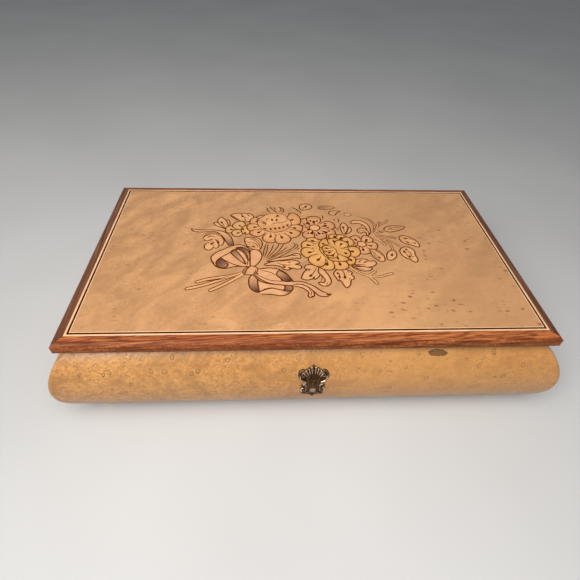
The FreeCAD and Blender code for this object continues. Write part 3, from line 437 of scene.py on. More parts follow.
class Marquetry:
    """Flat shapes drawn one over another, in millimetres on the lid, then cut along each other's edges.

    A shape covers what was drawn before it, so each spot of the finished picture is one piece of wood.
    """

    def __init__(self):
        self.points, self.faces, self.owners, self.shapes = [], [], [], []

    def begin(self, wood, shade=0.0):
        self.shapes.append((wood, shade if callable(shade) else lambda p: shade))

    def add(self, outline):
        outline = np.asarray(outline, float)
        x, y = outline[:, 0], outline[:, 1]
        if np.sum(x * np.roll(y, -1) - np.roll(x, -1) * y) < 0:
            outline = outline[::-1]
        start = len(self.points)
        self.points.extend(outline.tolist())
        self.faces.append(list(range(start, len(self.points))))
        self.owners.append(len(self.shapes) - 1)

    def holds(self, face, x, y):
        inside = False
        for a, b in zip(face, face[-1:] + face[:-1]):
            (ax, ay), (bx, by) = self.points[a], self.points[b]
            if (ay > y) != (by > y) and x < ax + (bx - ax) * (y - ay) / (by - ay):
                inside = not inside
        return inside

    def cut(self):
        """The finished mosaic: for each wood its corner points, their shades and its triangles."""
        found = delaunay_2d_cdt([Vector(p) for p in self.points], [], self.faces, 0, 1e-5, True)
        spots, triangles, sources = found[0], found[2], found[5]
        woods = {}
        for triangle, source in zip(triangles, sources):
            middle = sum((spots[k] for k in triangle), Vector((0, 0))) / 3
            source = [self.owners[f] for f in source if self.holds(self.faces[f], *middle)]
            if not source:
                continue
            owner = max(source)
            wood, shade = self.shapes[owner]
            keys, corners, levels, faces = woods.setdefault(wood, ({}, [], [], []))
            for k in triangle:
                if (owner, k) not in keys:
                    keys[owner, k] = len(corners)
                    corners.append(spots[k][:2])
                    levels.append(float(shade(np.array(spots[k][:2]))))
            faces.append([keys[owner, k] for k in triangle])
        return woods


def lay_inlay(picture, materials):
    """Turns the mosaic into thin pieces that ride on the lid."""
    high, low = LID_TOP + 0.02 * MM, LID_TOP - 0.05 * MM
    for wood, (_, corners, levels, faces) in picture.cut().items():
        count = len(corners)
        points = [(x * MM, y * MM, z) for z in (high, low) for x, y in corners]
        sides = dict.fromkeys((a, b) for face in faces for a, b in zip(face, face[1:] + face[:1]))
        walls = [(b, a, a + count, b + count) for a, b in sides if (b, a) not in sides]
        mesh = shaded_mesh("inlay_" + wood, points, faces + walls, materials[wood], "shade", levels * 2)
        piece = put("inlay_" + wood, mesh)
        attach(piece, "lid")


picture = Marquetry()


def smooth(points, closed=False, steps=7):
    """A smooth line through the points."""
    p = [np.array(q, float) for q in points]
    n = len(p)
    out = []
    for i in range(n if closed else n - 1):
        b, c = p[i], p[(i + 1) % n]
        a = p[(i - 1) % n] if closed or i > 0 else 2 * b - c
        d = p[(i + 2) % n] if closed or i + 2 < n else 2 * c - b
        for t in np.arange(steps) / steps:
            out.append(0.5 * (2 * b + (c - a) * t + (2 * a - 5 * b + 4 * c - d) * t * t
                              + (3 * b - a - 3 * c + d) * t ** 3))
    if not closed:
        out.append(p[-1])
    return np.array(out)


def directions(path):
    """Unit steps along a path, and the same ones turned to its left."""
    ahead = np.gradient(path, axis=0)
    ahead /= np.maximum(np.hypot(ahead[:, 0], ahead[:, 1]), 1e-9)[:, None]
    return ahead, np.stack([-ahead[:, 1], ahead[:, 0]], 1)


def trace(path, width=LINE, ends=0.35, closed=False):
    """A burnt line along a path. An open one thins towards its ends."""
    if closed:
        path = np.vstack([path, path[:2]])
    side = directions(path)[1]
    if closed:
        path, side = path[:-1], side[:-1]
        side[0] = side[-1]
    t = np.linspace(0, 1, len(path))
    form = np.ones(len(path)) if closed else ends + (1 - ends) * np.clip(np.minimum(t, 1 - t) * 5, 0, 1)
    side = side * (width / 2 * form)[:, None]
    left, right = path + side, path - side
    picture.begin("line")
    for k in range(0, len(path) - 1, 2):
        end = min(k + 3, len(path))
        picture.add(np.vstack([left[k:end], right[k:end][::-1]]))


def line(*points, width=LINE, ends=0.35):
    """A burnt line that runs smoothly through a few points."""
    trace(smooth(points), width, ends)


def strokes(*runs):
    """Burnt lines. A number sets the width of the lines after it."""
    width = LINE
    for run in runs:
        if isinstance(run, tuple):
            line(*run, width=width)
        else:
            width = run


def area(wood, outline, shade=0.0, rings=0, focus=None):
    """A filled shape. Rings add corners inside it, so that its shade can change there."""
    picture.begin(wood, shade)
    picture.add(outline)
    middle = outline.mean(0) if focus is None else focus
    for k in range(rings):
        picture.add(middle + (k + 0.5) / rings * (outline[::3] - middle))


def towards(a, b, first, last):
    """A shade that goes from one level at a to another at b."""
    a, b = np.array(a, float), np.array(b, float)
    way = b - a
    return lambda p: first + (last - first) * float(np.clip((p - a) @ way / (way @ way), 0, 1))


def around_spot(spot, reach, level):
    """A shade that fades out around a spot."""
    spot = np.array(spot, float)
    return lambda p: level * float(np.clip(1 - np.hypot(*(p - spot)) / reach, 0, 1))


def patch(wood, *points, shade=0.0, edge=LINE, steps=6):
    """A smooth closed shape with its outline."""
    outline = smooth(points, True, steps)
    area(wood, outline, shade)
    if edge:
        trace(outline, edge, closed=True)


def turned(x, y, u, v, turn):
    """Points u along and v across from a spot, turned by an angle in degrees."""
    a = math.radians(turn)
    return np.stack([x + u * math.cos(a) - v * math.sin(a), y + u * math.sin(a) + v * math.cos(a)], 1)


def ring_of(x, y, rx, ry, turn=0.0):
    """Points around an ellipse."""
    t = np.linspace(0, 2 * math.pi, 30, endpoint=False)
    return turned(x, y, rx * np.cos(t), ry * np.sin(t), turn)


def drop(x, y, turn, size=2.8):
    """A small dark teardrop, as at the root of a petal. turn is the way its tip points, in degrees."""
    t = np.linspace(0, 2 * math.pi, 10, endpoint=False)
    u, v = size * 0.66 * np.cos(t), size * 0.32 * np.sin(t) * (1.0 - 0.75 * np.cos(t))
    picture.begin("line")
    picture.add(turned(x, y, u, v, turn))


def drops(*spots):
    for spot in spots:
        drop(*spot)


def leaf(*outline, shade=0.0, edge=LINE, veins=(), dots=()):
    """A leaf with the burnt lines and teardrops inside it."""
    patch("leaf", *outline, shade=shade, edge=edge)
    strokes(*veins)
    drops(*dots)


def petal(wood, root, x, y, rx, ry, turn=0.0, level=0.75, mark=0.35, size=None):
    """A rounded petal, narrow and open towards its root, darker along its rim, with a teardrop inside."""
    outline = ring_of(x, y, rx, ry, turn)
    middle, way = np.array([x, y], float), np.array(root, float) - (x, y)
    way /= max(np.hypot(*way), 1e-9)
    inward = (outline - middle) @ way
    aside = outline - middle - inward[:, None] * way
    inward /= np.abs(inward).max()
    outline = outline - aside * (0.26 * inward)[:, None]
    reach = 0.5 * (rx + ry)
    shift = way * reach * 0.35

    def rim_shade(p):
        return level * float(np.clip(np.hypot(*(p - middle - shift)) / reach - 0.35, 0, 1))

    area(wood, outline, rim_shade, 3, middle)
    start = int(np.argmax(inward))
    trace(np.roll(outline, -start, axis=0)[3:-2], ends=0.5)
    if mark is not None:
        spot = middle + way * min(rx, ry) * mark
        size = size or 0.5 * min(rx, ry) + 1.0
        drop(*spot, math.degrees(math.atan2(way[1], way[0])), size)
        curl = np.array([-way[1], way[0]]) * 0.16 * size
        line(spot + way * size * 0.4, spot + way * size * 0.85 + curl, spot + way * size * 1.25 + curl * 2.2,
             width=FINE)


def petals(wood, root, level, mark, size, *places):
    """Petals around one root. A place holds x, y, both radii and, where it isn't 0, the turn."""
    for x, y, rx, ry, *turn in places:
        petal(wood, root, x, y, rx, ry, *turn, level=level, mark=mark, size=size)


def heart(x, y, rx, ry, reach, level):
    """The round middle of a flower."""
    disc = ring_of(x, y, rx, ry)
    area("peach", disc, around_spot((x, y), reach, level), 2)
    trace(disc, closed=True)


def tube(*points, width, edge=FINE, cap=True):
    """A stem drawn as two lines, with a rounded end where it has a cap."""
    path = smooth(points)
    ahead, side = directions(path)
    left, right = path + side * width / 2, path - side * width / 2
    tip = [path[-1] + ahead[-1] * width * 0.5] if cap else []
    rim = np.vstack([left, *tip, right[::-1]])
    area("leaf", rim)
    for side in ((rim,) if cap else (left, right)):
        trace(side, edge)


def ribbon(left, right, shade=0.0, edge=LINE):
    """A strip of silk between two lines."""
    left, right = smooth(left), smooth(right)
    area("silk", np.vstack([left, right[::-1]]), shade)
    for side in (left, right):
        trace(side, edge, 0.7)


def draw_stems():
    for run in (((-31.5, -11), (-29.5, -3), (-28.3, 7)), ((-30.6, -12), (-26.5, -3), (-23.8, 6.5)),
                ((-32.3, -10), (-31.6, -2), (-29.6, 7.5)), ((-30, -13), (-25, -5), (-20.8, 3), (-20.3, 7)),
                ((-29.5, -13.5), (-21, -3.5), (-17.5, 3), (-16.5, 6)), ((-28.5, -13), (-20, -5), (-13, 2.5)),
                ((-26, -12), (-19, -6), (-10.5, 0), (-7.6, 4.5), (-10, 8)),
                ((-23, -11.5), (-17, -7.5), (-9.5, -1)), ((-9, -1.5), (-5.6, 2.6), (-6.6, 6)),
                ((-6.5, -1.8), (-4.6, 1))):
        line(*run, width=0.85, ends=0.2)
    leaf((-29.5, -15), (-21, -10.8), (-14, -9.3), (-9, -6.4), (-5, -6.6), (-4.2, -9.5), (-5, -11.6),
         (-12, -12.2), (-21, -14),
         veins=(((-15, -8.8), (-10.5, -8), (-6, -8.6)), FINE, ((-13, -10.2), (-8, -10.3), (-5, -10.8))))
    leaf((-30.5, -17.6), (-23, -14.6), (-16, -14.2), (-11, -13.4), (-6.5, -14.8), (-5.6, -17),
         (-8.5, -18.2), (-5, -19.4), (-4.4, -22.6), (-8, -23.4), (-11, -22.4), (-13.6, -24.2),
         (-17.2, -23.6), (-19.4, -20.6), (-25, -19.2), (-30, -19.4),
         shade=towards((-30, -18), (-18, -18), 0.4, 0.0),
         veins=(0.8, ((-22, -17), (-17, -18.8), (-11.5, -19)), LINE, ((-14.6, -16), (-11.8, -15.6))),
         dots=((-17, -20.6, 120), (-13, -22.2, 140)))
    for run in (((-47, -27), (-57, -30.6), (-70, -33.4), (-78, -36.4)),
                ((-47, -27.5), (-60, -33.6), (-74, -39.8), (-84, -43)),
                ((-46, -28), (-54, -35), (-62, -41), (-68, -44.6))):
        tube(*run, width=2.6, edge=LINE * 0.8)
    line((-49, -28.6), (-58, -33), (-76, -36.5), width=FINE)


def draw_leaves():
    # Upper left
    leaf((-62, 25), (-67, 27.5), (-71, 30), (-72.2, 33.2), (-69.6, 33.6), (-67, 31), (-62.6, 27))
    leaf((-62, 25), (-59.6, 28), (-59.2, 33), (-61, 37.6), (-62.6, 34), (-62.8, 29))
    leaf((-62, 25.5), (-66.4, 29.6), (-69, 33.6), (-69.2, 37.6), (-67, 40.8), (-63.6, 37.6), (-61.2, 33),
         (-60.6, 29), shade=around_spot((-65, 31), 5, 0.35),
         veins=(FINE, ((-62.6, 27), (-64.4, 30), (-66, 33.6))), dots=((-66, 33.4, -70),))
    leaf((-53, 37), (-57, 40.4), (-59.4, 44), (-55, 46.6), (-49.6, 46.8), (-43, 46), (-40.4, 42), (-42, 37),
         (-46, 34.6), shade=0.05,
         veins=(((-59, 44), (-55.6, 40.6), (-52, 37)), ((-51, 46.4), (-49, 42), (-46, 40.4)),
                ((-45.6, 45.4), (-43.6, 42.4)), ((-50.6, 42), (-47.6, 41.2))),
         dots=((-47, 37.2, -60, 2.2),))
    # Green-tinged buds
    petals("green", (-45.5, 22.5), 0.3, 0.15, 2.6,
           (-58, 24, 4.4, 4.6), (-51.4, 29.4, 5.2, 5.6), (-52.4, 19.4, 4.6, 4.4))
    petal("yellow", (-38, 24), -45, 23.6, 4.8, 5.4, level=0.4, mark=None)
    drops((-48.4, 24.4, -60), (-44.4, 24.4, -60), (-46.4, 19.6, -60, 2.2))
    # Beside the ribbon's end
    leaf((-79, 13.4), (-77.2, 9.4), (-76.8, 4), (-76, -0.6), (-72.6, -1.8), (-69.8, 0.8), (-66.6, 1),
         (-64.4, 4), (-62.6, 8), (-62.8, 12), (-66, 16), (-72, 17.6), shade=around_spot((-68, 12), 7, 0.25),
         edge=0,
         veins=(((-71.4, 8.8), (-75.6, 6.4), (-76.8, 2.4), (-75.6, -0.8), (-72.6, -1.8), (-70.4, 0.4),
                 (-69.6, 4.6)), ((-69.9, 1.4), (-67.6, 0.5), (-66, 2.4), (-66.3, 6), (-68.2, 8.8)),
                ((-66, 3.6), (-64, 3.8), (-62.6, 6.6), (-62.6, 10.6), (-64.4, 13.6)),
                ((-78, 12.4), (-76.8, 9.4), (-74.6, 9.6), (-72.4, 11.4)),
                ((-79.2, 12), (-77.6, 15.4), (-73.6, 17.4)), ((-75.8, 13.6), (-73, 15.4), (-70, 15)),
                ((-69.8, 11.2), (-67.8, 9.8), (-66.6, 7.4))),
         dots=((-71, 6.4, 50, 3.2), (-66.6, 7.6, 80, 2.4), (-72.2, 10.8, 10, 2.2)))
    # Above the bow
    leaf((-45.6, 13.6), (-46.6, 9.6), (-44.8, 3.6), (-41, -0.4), (-35.6, -1.8), (-33.4, 2), (-33.2, 8),
         (-36, 12.6), (-41, 13.2), shade=around_spot((-38, 3), 6, 0.3),
         veins=(FINE, ((-46.4, 9.4), (-43.4, 7.6), (-41.4, 8.4)), ((-45, 6), (-42.4, 5)),
                ((-43.6, 12.2), (-38.6, 9.8), (-35, 4), (-34.6, 0)), ((-41, 7.8), (-37.6, 5.4), (-35.8, 1)),
                ((-40.6, 12.8), (-36.4, 10), (-34, 5)), ((-37, 13.4), (-34, 10.6), (-32.6, 6.6), (-33, 2)),
                ((-44, 3), (-40.6, 1.6))), dots=((-39.4, 2.2, -30, 2.4),))
    # Above the peach flower
    strokes(((-29, 55.6), (-28.6, 51.6), (-26, 48)),
            ((-26.6, 57.6), (-25, 53.6), (-22.4, 50.6), (-21, 47.6)), ((-23.4, 56), (-21.6, 52.6)),
            ((-19.4, 57), (-17.4, 54), (-17.2, 51), (-19.4, 49)),
            ((-17.6, 56.6), (-15.2, 53), (-15.2, 49.6), (-17.4, 47.2)), ((-8, 56), (-4, 53), (-1.4, 49)),
            ((-4.2, 52.4), (-1.2, 49.4), (-0.6, 46)), ((-0.6, 58.6), (1.4, 54.6), (0.8, 50.6)),
            ((-11.6, 47.6), (-8.4, 46)), ((4.4, 60), (2.8, 56.6), (1, 53)),
            ((9.6, 58), (7.6, 54.6), (3.4, 52.6)), ((4.6, 58), (5.6, 55.4)))
    leaf((0.6, 52), (-1.2, 56), (0, 60.2), (4.6, 61.6), (8.8, 59.6), (9.6, 56), (6.4, 53), shade=0.25,
         veins=(FINE, ((1.4, 53), (3.4, 57), (6.6, 59.4))), dots=((4.6, 57, 60, 2.4),))
    # Brown leaf and pale loops at the back
    patch("silk", (14.6, 55.6), (17, 58), (22, 58.8), (27, 58), (29.6, 56), (26, 53.6), (20, 52.8),
          (16, 53.6), shade=towards((16, 55), (29, 56), 0.6, 0.2), edge=FINE)
    leaf((23.4, 47), (25, 50.4), (29, 51), (33.4, 50.4), (30.4, 48), (28.6, 45), (25.6, 45), shade=0.2,
         veins=(FINE, ((25.6, 48.6), (28, 48), (29.4, 46))))
    leaf((36.4, 45), (38, 47.6), (41, 47), (42.2, 44.6), (39.4, 43.4), shade=0.05, edge=FINE)
    # Between the pink flower and the curls
    leaf((33.8, 18), (36.6, 19.8), (39.2, 23), (38.8, 27.4), (37, 26), (35.6, 22))
    leaf((31.6, 19), (30.6, 24.6), (30.8, 29.4), (33.2, 33.6), (35.8, 31.4), (36.8, 27.6), (35.6, 23),
         (33.6, 19), shade=around_spot((33.4, 22), 6, 0.3),
         veins=(FINE, ((33, 20), (33.2, 24), (33.2, 26.6))), dots=((33, 27, -95),))
    strokes(((26.6, 38.8), (27.4, 36.8)), ((29.8, 39.8), (30.6, 37.4), (30, 34.4)),
            ((17.2, 44.6), (17.8, 41.4), (16.8, 38.6)), FINE, ((26.6, 28.6), (27.4, 25.2), (28.8, 22.6)),
            ((29.2, 27.6), (28.4, 24.6)))


def draw_right_side():
    # Curls, a ribbon of grass and the twigs behind them
    strokes(FINE, ((46.6, 42.4), (52, 41), (57, 38.6), (59.6, 34), (60.2, 28), (58, 21.6)),
            ((50, 40), (55.6, 37.6), (58, 33), (58.2, 27), (56, 20.6)))
    leaf((41.2, 32.4), (40.4, 34.8), (43, 36.8), (48.6, 36.6), (53, 33), (55, 27.6), (54.6, 21), (53, 18),
         (52.4, 22), (51.6, 27), (49.6, 31), (46, 33), veins=(FINE, ((47.6, 28), (49.4, 30.4))))
    leaf((50.6, 16.4), (50.8, 20), (48.4, 21), (46.4, 19.4), (44, 20.6), (44.2, 24), (47, 26.2),
         (50.6, 25.4), (52.8, 21.6), (52.6, 17.4), shade=0.05,
         veins=(FINE, ((44.6, 20.6), (46.4, 23.4), (49.4, 23.2), (50.8, 20.4))))
    tube((56, 20.4), (60.6, 26.6), (64.2, 31.6), (68.4, 33.4), (72, 37.6), width=1.5)
    tube((61.6, 28), (62.6, 31.6), (65, 35.6), width=1.3)
    line((56, 19.6), (58.4, 24), (61.4, 29.4), width=FINE)
    patch("rose", (66.6, 23), (67, 26.4), (71, 29), (77, 29.6), (82.6, 29), (84.2, 27), (80.6, 24.4),
          (75, 22), (70, 21), shade=0.15)
    strokes(FINE, ((69, 23.6), (72.6, 26.4), (78, 27.2), (81.6, 26.6)),
            ((70.6, 26.6), (73.6, 24.6), (78.6, 25)))
    tube((56.8, 18), (61.6, 20.4), (66.4, 23), width=1.5, cap=False)
    line((60.6, 24.4), (62.8, 21.6), (65.6, 20.6), width=FINE)
    # Small flower
    petals("pink", (44.6, 5.4), 0.55, 0.2, 3, (40.4, 11.2, 4.6, 4.8), (49.6, 11, 4.6, 4.8),
           (51.8, 3.2, 5, 4.8), (44.6, -2, 5.8, 4.8), (38.6, 2.6, 4.2, 4.4))
    drop(48.6, 8.6, -140, 2.4)
    heart(44.6, 5.4, 3.6, 3.4, 4, 0.15)
    # Stems and buds to the right
    tube((56, 15.6), (63, 15.8), (70, 13.6), (76, 14), width=1.3, cap=False)
    tube((57.6, 13), (63.8, 12), (68.6, 8.4), (72.6, 4.6), (75.6, 0.8), width=1.3, cap=False)
    tube((63.4, 11), (66.6, 6), (67.8, 1), (67.4, -2.4), width=1.4, cap=False)
    tube((68, 17.6), (72.6, 12.4), width=1.2)
    tube((56.8, 13.4), (60.6, 9.6), (63, 5), width=2.2)
    line((61, 9.6), (63.6, 6), width=FINE)
    leaf((68, -2), (64, -3.6), (61.6, -8), (61.4, -13), (64.6, -13.6), (68.4, -10.4), (69.6, -5.4),
         shade=around_spot((67, -3), 6, 0.3), dots=((65.8, -7.4, 70, 3),))
    leaf((75.6, 1), (73, -2.6), (73.2, -7.4), (75.8, -11.4), (79, -13.4), (80.6, -16), (83.8, -15.2),
         (84.4, -11), (83.8, -7), (84.4, -3), (82.2, 0.4), (79, 2), shade=around_spot((77, 0), 7, 0.3),
         veins=(FINE, ((76.6, -4), (77.6, -9), (79.4, -13)),
                ((78.2, -1), (80.6, -5.4), (80.6, -10), (83.4, -9))),
         dots=((76.2, -3.6, 80), (78.4, -1, 80, 2.2), (79, -9.4, 80, 2.4)))
    leaf((76.2, 12.4), (77.6, 15.6), (82, 16), (87, 12.4), (89.6, 8.4), (90.4, 3.4), (88.4, 1.8), (84.6, 4),
         (80.6, 5.4), (77.4, 8.4), shade=around_spot((78, 13), 8, 0.4),
         veins=(FINE, ((79, 13.8), (84, 12.4), (88, 9.4)), ((80, 9.4), (83, 6.6), (85.4, 7.4))),
         dots=((81, 12.4, 170, 2.2), (81.6, 8, 140, 2.4), (87, 7, 140, 2.2)))
    # Leaf under the small flower
    leaf((50, -1), (50, -6.6), (51.8, -11.6), (55.4, -15.2), (58.8, -14.4), (59.2, -9), (57, -4),
         (53.4, -1.2), shade=around_spot((51, -3), 7, 0.35),
         veins=(FINE, ((50.8, -2.4), (53, -7), (55.4, -10.6)), ((51.4, -7), (53, -10.6), (55.6, -14)),
                ((53.6, -2.2), (56.8, -6), (58, -9.4))), dots=((55.2, -10.4, 120, 2.4),))
    # Two leaves and a twig at the lower right
    leaf((32.6, -17.4), (35.4, -13.8), (40, -12.4), (44.6, -12.8), (46.6, -14.8), (50.6, -14.6),
         (51.8, -17.4), (49.4, -20.2), (44.6, -21.6), (39, -20.4), shade=around_spot((34, -17), 8, 0.35),
         veins=(0.7, ((33.2, -17.6), (38, -18.8), (43.4, -19)), LINE, ((38.4, -16.4), (41, -13.6)),
                ((42, -17), (45.4, -14.6))))
    leaf((32, -19.6), (36.6, -21), (40.6, -20.8), (45, -21.8), (47.6, -22.6), (45.6, -25.2), (41, -25.8),
         (37.4, -24.4), shade=0.1, veins=(FINE, ((34.6, -20.8), (37.6, -23.4), (41.6, -23.8))))
    tube((30.6, -19.6), (34, -24.6), (38.6, -28.8), (43.4, -31), width=1.9, cap=False)
    tube((44, -31), (52, -31.6), (57.6, -29.6), (61.4, -28.4), width=1.9)
    tube((43.8, -30.8), (46.4, -28.4), (49.2, -26.4), width=1.9)
    tube((44, -31.4), (46, -35), (48, -38.6), width=2.3)


def draw_lower_leaves():
    leaf((3.4, -18.6), (-0.8, -19.4), (-2.4, -22), (-0.6, -24), (-2.4, -26), (-4.4, -30), (-5, -33.4),
         (-1.6, -35), (2.6, -34), (4, -31.6), (4.2, -34.4), (7.4, -31.6), (8.8, -27.6), (8.6, -22),
         shade=around_spot((5, -21), 8, 0.35),
         veins=(0.7, ((1.4, -30.8), (4.4, -26.6), (6.8, -22)), FINE, ((-2.2, -24.4), (0.8, -22.6))),
         dots=((1.2, -24, 40, 2.2), (2, -30, 50, 3)))
    leaf((8.6, -21.4), (7.6, -27), (10.2, -31.4), (11.6, -35), (10, -37.8), (7.6, -37.2), (6.6, -38.6),
         (9, -40.8), (12.6, -41), (15.4, -38), (15.6, -34), (13.6, -28), (10.8, -22.6),
         shade=around_spot((9.6, -23), 8, 0.35),
         veins=(FINE, ((9.2, -28.8), (9.6, -33), (8.4, -36.4)), 0.7, ((12.8, -37.6), (12, -40))))
    leaf((22, -24), (19.2, -26.4), (18.4, -29.6), (19.6, -32.4), (20.8, -35.8), (22.6, -36), (24, -40),
         (25.6, -43), (28.6, -40.4), (30.2, -35), (31.8, -34.8), (32.6, -32), (31, -29.4), (32, -27.4),
         (29, -24.6), (26, -23.4), shade=around_spot((25, -25), 8, 0.35),
         veins=(0.8, ((25.2, -24.6), (26, -28.6), (26, -33.4)), FINE, ((22.6, -28), (22, -32), (21.4, -36)),
                ((28.4, -26), (30.2, -27.4)), ((28.6, -34.6), (29.8, -33))),
         dots=((21.4, -27.8, 90, 2.4), (22.2, -31.4, 85, 2.6), (26, -31.8, 90, 3)))


def draw_bow():
    # Tail to the upper left, with its curl
    dark = towards((-57, 4), (-63, 16), 0.9, 0.0)
    ribbon([(-58, 3.6), (-60.4, 8.4), (-64, 13.8), (-68, 17), (-72, 18.6), (-76.6, 17.8), (-79, 14)],
           [(-57, 4), (-59.6, 8.6), (-63, 14.4), (-67, 18), (-71.6, 19.6), (-77.4, 19), (-80.8, 15)],
           dark, FINE)
    ribbon([(-58.4, 3.4), (-60.6, 8), (-62.6, 12.6), (-66, 17.4), (-69.8, 21), (-76, 21), (-82, 20.6),
            (-87.8, 21.6)],
           [(-54.6, 3.4), (-55.6, 9), (-58, 15.4), (-62.4, 20.4), (-68, 22.8), (-75, 23.4), (-82, 23.4),
            (-88.6, 24.6)], dark)
    line((-89.4, 25.6), (-88.6, 23.2), (-87.2, 21.6))
    # Left loop
    patch("silk", (-44, -20.6), (-52, -20.4), (-60, -22.6), (-66, -20.4), (-69.4, -15), (-70.4, -9.6),
          (-67, -4.4), (-61, 0), (-55.6, 3.4), (-50, 4.6), (-45, 2), (-42, -4), (-41.2, -11), (-41.6, -20))
    below = smooth([(-44, -20), (-52, -19.8), (-58.6, -21.6), (-63, -20.6), (-66, -17), (-64, -10.6)])
    above = smooth([(-64, -10.6), (-57, -5), (-50, 1), (-45.6, 0.6), (-42.6, -5), (-41.8, -19.6)])
    area("silk", np.vstack([below, above]))
    patch("silk", (-62.6, -21.4), (-65.6, -19.4), (-66.4, -15.4), (-64, -10.8), (-61.6, -12.4),
          (-59.6, -15.4), (-57.6, -18), (-58.6, -21.2), shade=towards((-65, -15), (-57, -21), 0.95, 0.45))
    patch("silk", (-53, 0.2), (-50, 1.8), (-46, 0.6), (-43, -4), (-42, -9), (-43, -14), (-45.2, -8),
          (-48, -3.4), shade=towards((-50, 1), (-43, -11), 1.0, 0.15))
    patch("silk", (-56.6, -4.4), (-53.6, -1), (-51, -5), (-47, -12), (-44.8, -18), (-48.6, -14.6),
          (-53.6, -9), shade=towards((-55, -3), (-47, -14), 0.75, 0.0))
    line((-64, -10.6), (-57, -4.8), (-50.4, 1), width=1.0, ends=0.8)
    strokes(0.85, ((-63.6, -10.8), (-56.6, -16.2), (-50, -19.6), (-45, -20.6)), FINE,
            ((-52, -2.4), (-48.6, -9), (-45, -18)), 0.75,
            ((-48.6, -0.6), (-44.4, -7), (-43.4, -14), (-44, -20)), FINE,
            ((-69, -14), (-66.6, -19.6), (-61, -21.8)))
    # Second loop, upright
    patch("silk", (-38.4, -20), (-41.4, -19.6), (-41.8, -12), (-42, -4), (-40.4, -1.4), (-36.4, -1.8),
          (-33.8, -5), (-33.2, -10), (-35, -15.6))
    # Right side: bands behind, then the loop
    ribbon([(-14, -37.4), (-6, -36.4), (2, -40.4), (8, -46), (13.4, -49.4)],
           [(-14, -41), (-6, -39.2), (-1, -42.4), (3, -47), (6, -50.6), (11, -51.2), (14.4, -48.8)],
           towards((-14, -39), (6, -48), 0.0, 0.1))
    line((10.4, -49.2), (12.6, -49.4), (14.4, -48.6))
    ribbon([(-12.4, -39.6), (-6, -39.2), (-0.6, -42.6), (2.4, -47), (2.2, -51), (-0.6, -52)],
           [(-12.4, -41.2), (-7, -42), (-3.2, -44.4), (-1, -47.6), (-1.8, -50.6), (-0.8, -52)])
    strokes(FINE, ((-1, -43.4), (0.8, -47.4), (0, -50.6)), LINE, ((1.8, -50.4), (-0.4, -52), (-2, -50.4)))
    ribbon([(-34.6, -46.4), (-29, -43.6), (-22.6, -42.8), (-16.6, -44.6), (-12, -44.2)],
           [(-33.4, -48.4), (-26, -49), (-20, -50.2), (-15, -48.4), (-11.4, -43.6)],
           towards((-19, -46), (-12.4, -44), 0.0, 0.95))
    patch("silk", (-18.4, -39.6), (-13, -40.6), (-11.6, -43.6), (-14, -45.8), (-18.6, -45), (-17, -42.6),
          shade=towards((-18, -45), (-13, -41), 0.9, 0.5))
    patch("silk", (-39.8, -29.6), (-42, -33), (-42, -39), (-40.4, -43.6), (-36.6, -46.6), (-34.4, -45.8),
          (-35.6, -40), (-36, -34.4), shade=towards((-40, -31), (-37, -46), 0.0, 1.0))
    patch("silk", (-36, -34), (-34.2, -36), (-27.6, -38.6), (-18.4, -39.8), (-17.2, -42.6), (-19, -44.8),
          (-26, -42.8), (-31, -43.8), (-34.4, -45.8), (-35.6, -40))
    line((-36, -34), (-35.8, -40), (-34.4, -46), width=0.85)
    ribbon([(-35.4, -23), (-28, -22.2), (-20.6, -24), (-15, -29), (-11.8, -36)],
           [(-38.4, -28.8), (-34, -34), (-27.6, -38), (-19, -39.8), (-11, -40.4)])
    patch("silk", (-22.6, -29.8), (-21, -25), (-16.6, -28), (-13.6, -31.6), (-11.8, -36), (-18.2, -36),
          (-20, -33), shade=towards((-20, -28), (-14, -35), 0.35, 1.0))
    strokes(0.95, ((-22.8, -30), (-20, -32.8), (-18, -36)), 0.85,
            ((-34.6, -23.6), (-28, -22.2), (-20.6, -24), (-15, -29), (-11.8, -36)), FINE,
            ((-34.4, -24.6), (-27.6, -26.6), (-22.6, -30)),
            ((-38, -28.4), (-33, -31.6), (-27, -35), (-20, -36), (-12, -36)), 0.7,
            ((-18, -36), (-8, -36.4)))
    drop(-8.4, -39, 0, 1.7)
    # Knot
    patch("silk", (-46, -28.4), (-46.6, -25), (-44.4, -22), (-40.8, -20), (-37.6, -21), (-36, -23.6),
          (-37, -27), (-39.6, -29), (-43, -29.2), shade=around_spot((-45.6, -26.6), 3.5, 0.5), edge=0.8)
    strokes(1.0, ((-41.2, -20.2), (-43.4, -22.8), (-45, -26), (-45, -28.6)), 0.9,
            ((-37.6, -21), (-35.6, -22.8)), 0.8, ((-37.4, -24), (-37.8, -26.4), (-39.4, -28)))
    drop(-36.2, -28.2, -50, 2)


